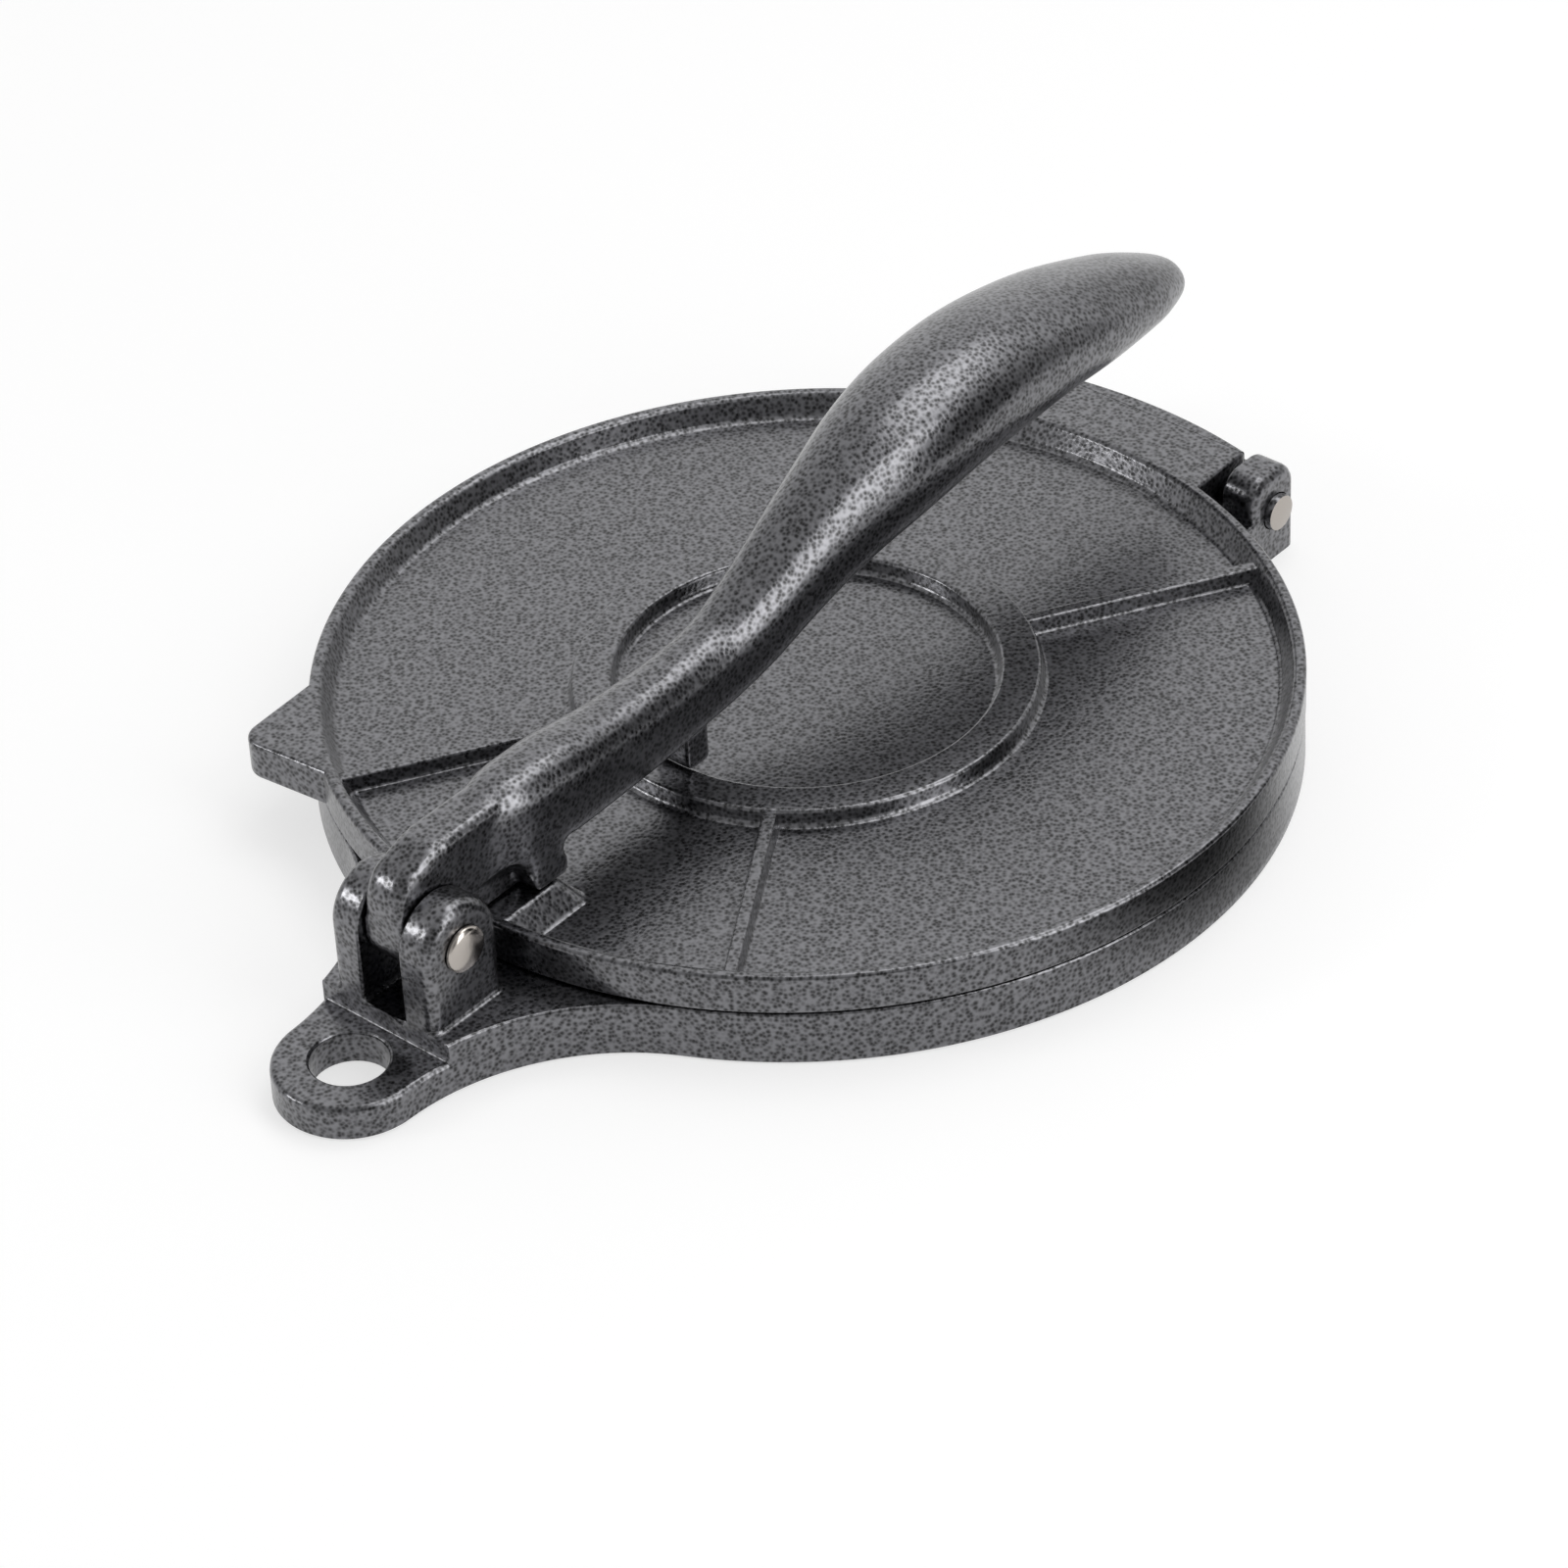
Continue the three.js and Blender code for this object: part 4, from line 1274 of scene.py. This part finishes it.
# %% Hang the paper and its shades
PAPER = ((-20, 10), 40, 75)
PAPER_AWAY = 0.6

# Each: its middle as azimuth and elevation, the degrees round it to which it is full and at which
# it ends, and the share of light that it leaves.
SHADES = (((46, 18), 14, 28, 0.5), ((165, 45), 15, 40, 0.7), ((118, 22), 8, 22, 0.4),
          ((-5, 12), 12, 26, 0.7))


def towards(azimuth, elevation):
    """A direction; the azimuth is counted from +Y towards +X, both in degrees."""
    turn, rise = math.radians(azimuth), math.radians(elevation)
    return Vector((math.sin(turn) * math.cos(rise), math.cos(turn) * math.cos(rise), math.sin(rise)))


def card(tree, centre, inner, outer):
    """1 within inner degrees of a direction, and 0 beyond outer degrees."""
    place = add_node(tree, "ShaderNodeTexCoord")
    near = add_node(tree, "ShaderNodeVectorMath", {"operation": "DOT_PRODUCT", 1: towards(*centre)},
                    {0: place.outputs["Generated"]})
    return add_node(tree, "ShaderNodeMapRange",
                    {"interpolation_type": "SMOOTHSTEP", "From Min": math.cos(math.radians(outer)),
                     "From Max": math.cos(math.radians(inner))}, {"Value": near.outputs["Value"]})


def studio():
    world = bpy.data.worlds.new("studio")
    bpy.context.scene.world = world
    world.use_nodes = True
    tree = world.node_tree
    tree.nodes.clear()
    paper = card(tree, *PAPER)
    light = add_node(tree, "ShaderNodeMapRange", {"To Min": PAPER_AWAY, "To Max": 1},
                     {"Value": paper.outputs[0]})
    for place, inner, outer, share in SHADES:
        shade = card(tree, place, inner, outer)
        dark = add_node(tree, "ShaderNodeMapRange", {"To Min": 1, "To Max": share},
                        {"Value": shade.outputs[0]})
        light = add_node(tree, "ShaderNodeMath", {"operation": "MULTIPLY"},
                         {0: light.outputs[0], 1: dark.outputs[0]})
    eye = add_node(tree, "ShaderNodeLightPath")
    seen = add_node(tree, "ShaderNodeMath", {"operation": "MAXIMUM"},
                    {0: light.outputs[0], 1: eye.outputs["Is Camera Ray"]})
    room = add_node(tree, "ShaderNodeBackground", links={"Strength": seen.outputs[0]})
    add_node(tree, "ShaderNodeOutputWorld", links={"Surface": room.outputs[0]})


studio()
print("shades in the room:", len(SHADES))


# %% [markdown]
# ## Lamps and black cards
# Three softboxes make the glints: a wide one overhead for rims, ribs and the crown of the lever, a
# tall one at the right for the side of the paddle, and a small bright one at the front left for
# the rounds of the ears. Two black cards close to the press only show in its reflections. The
# standing one is a flag that darkens the side of the lever. The lying one is painted shadow on
# the table, and it darkens the skirt on the right.

# %% Set up lamps and cards
def softbox(name, place, distance, size, brightness):
    """A flat lamp that hangs in a direction from the press and faces it; a brightness of 1 is white."""
    out = towards(*place)
    light = bpy.data.lights.new(name, "AREA")
    light.shape = "RECTANGLE"
    light.size, light.size_y = size
    light.energy = brightness * math.pi * size[0] * size[1]
    lamp = bpy.data.objects.new(name, light)
    lamp.location = at_height(PLATE_TOP) + out * distance
    lamp.rotation_euler = out.to_track_quat("Z", "Y").to_euler()
    bpy.context.collection.objects.link(lamp)
    print(name, "watts:", round(light.energy, 1))


def flag_and_painted_shadow_black(fade):
    """Black card that thins out towards its rim, used as a flag and as painted shadow on the table; fade is
    the share of its radius where that begins.
    """
    material, tree = new_material("flag_and_painted_shadow_black")
    place = add_node(tree, "ShaderNodeTexCoord")
    spread = add_node(tree, "ShaderNodeVectorMath", {"operation": "DISTANCE", 1: (0.5, 0.5, 0)},
                      {0: place.outputs["UV"]})
    thin = add_node(tree, "ShaderNodeMapRange",
                    {"interpolation_type": "SMOOTHSTEP", "From Min": fade / 2, "From Max": 0.5},
                    {"Value": spread.outputs["Value"]})
    card_black = add_node(tree, "ShaderNodeBsdfDiffuse", {"Color": colour("1c1c1c")})
    air = add_node(tree, "ShaderNodeBsdfTransparent")
    finish_material(tree, add_node(tree, "ShaderNodeMixShader",
                                   links={0: thin.outputs[0], 1: card_black.outputs[0], 2: air.outputs[0]}))
    return material


def dark_card(name, azimuth, elevation, distance, size, fade):
    """A black card on the table that only reflections see, so that one side of each round turns dark;
    standing it is a flag, lying it is painted shadow on the table.
    """
    deselect_all()
    bpy.ops.mesh.primitive_plane_add(size=1, location=CENTRE + towards(azimuth, 0) * distance,
                                     rotation=towards(azimuth, elevation).to_track_quat("Z", "Y").to_euler())
    piece = named(bpy.context.object, name)
    piece.scale = (size[0], size[1], 1)
    apply_place(piece)
    low = min(vert.co.z for vert in piece.data.vertices)
    piece.data.transform(Matrix.Translation((0, 0, MM - low)))
    for kind in ("camera", "diffuse", "shadow", "transmission"):
        setattr(piece, "visible_" + kind, False)
    paint(piece, flag_and_painted_shadow_black(fade))


dark_card("black_card_standing", azimuth=60, elevation=0, distance=0.27, size=(0.18, 0.3), fade=0.9)
# The lying card is painted shadow on the table, which only reflections see.
dark_card("painted_shadow_card_lying", azimuth=82, elevation=89, distance=0.155, size=(0.2, 0.09), fade=0.25)
softbox("softbox_overhead", place=(15, 68), distance=1.7, size=(1.3, 0.85), brightness=1.6)
softbox("softbox_right", place=(84, 29), distance=1.6, size=(0.72, 1.7), brightness=2.3)
softbox("softbox_front_left", place=(-141, 25), distance=1.6, size=(0.35, 0.35), brightness=7)
bpy.context.scene.view_settings.view_transform = "Standard"

# %% [markdown]
# ## The camera
# The camera stands where the photograph was taken from. Its place was found from the circles of
# the plate, and is given by two angles and a distance from the point that it aims at, with a
# slight roll.

# %% Set up the camera
VIEW_AZIMUTH = math.radians(42.156)
VIEW_ELEVATION = math.radians(37.325)
VIEW_DISTANCE = 1415.25 * MM
VIEW_ROLL = math.radians(-3.176)
VIEW_LENS = 131.23
VIEW_SENSOR = 36
AIM = Vector((16.05, -10.13, 12.5)) * MM

back = Vector((math.sin(VIEW_AZIMUTH) * math.cos(VIEW_ELEVATION),
               -math.cos(VIEW_AZIMUTH) * math.cos(VIEW_ELEVATION), math.sin(VIEW_ELEVATION)))
camera_data = bpy.data.cameras.new("camera")
camera_data.lens = VIEW_LENS
camera_data.sensor_width = VIEW_SENSOR
camera = bpy.data.objects.new("camera", camera_data)
camera.location = AIM + back * VIEW_DISTANCE
look = (-back).to_track_quat("-Z", "Y") @ Quaternion((0, 0, 1), VIEW_ROLL)
camera.rotation_mode = "XYZ"
camera.rotation_euler = look.to_euler()
bpy.context.collection.objects.link(camera)
bpy.context.scene.camera = camera
print("camera in mm:", [round(v / MM) for v in camera.location])
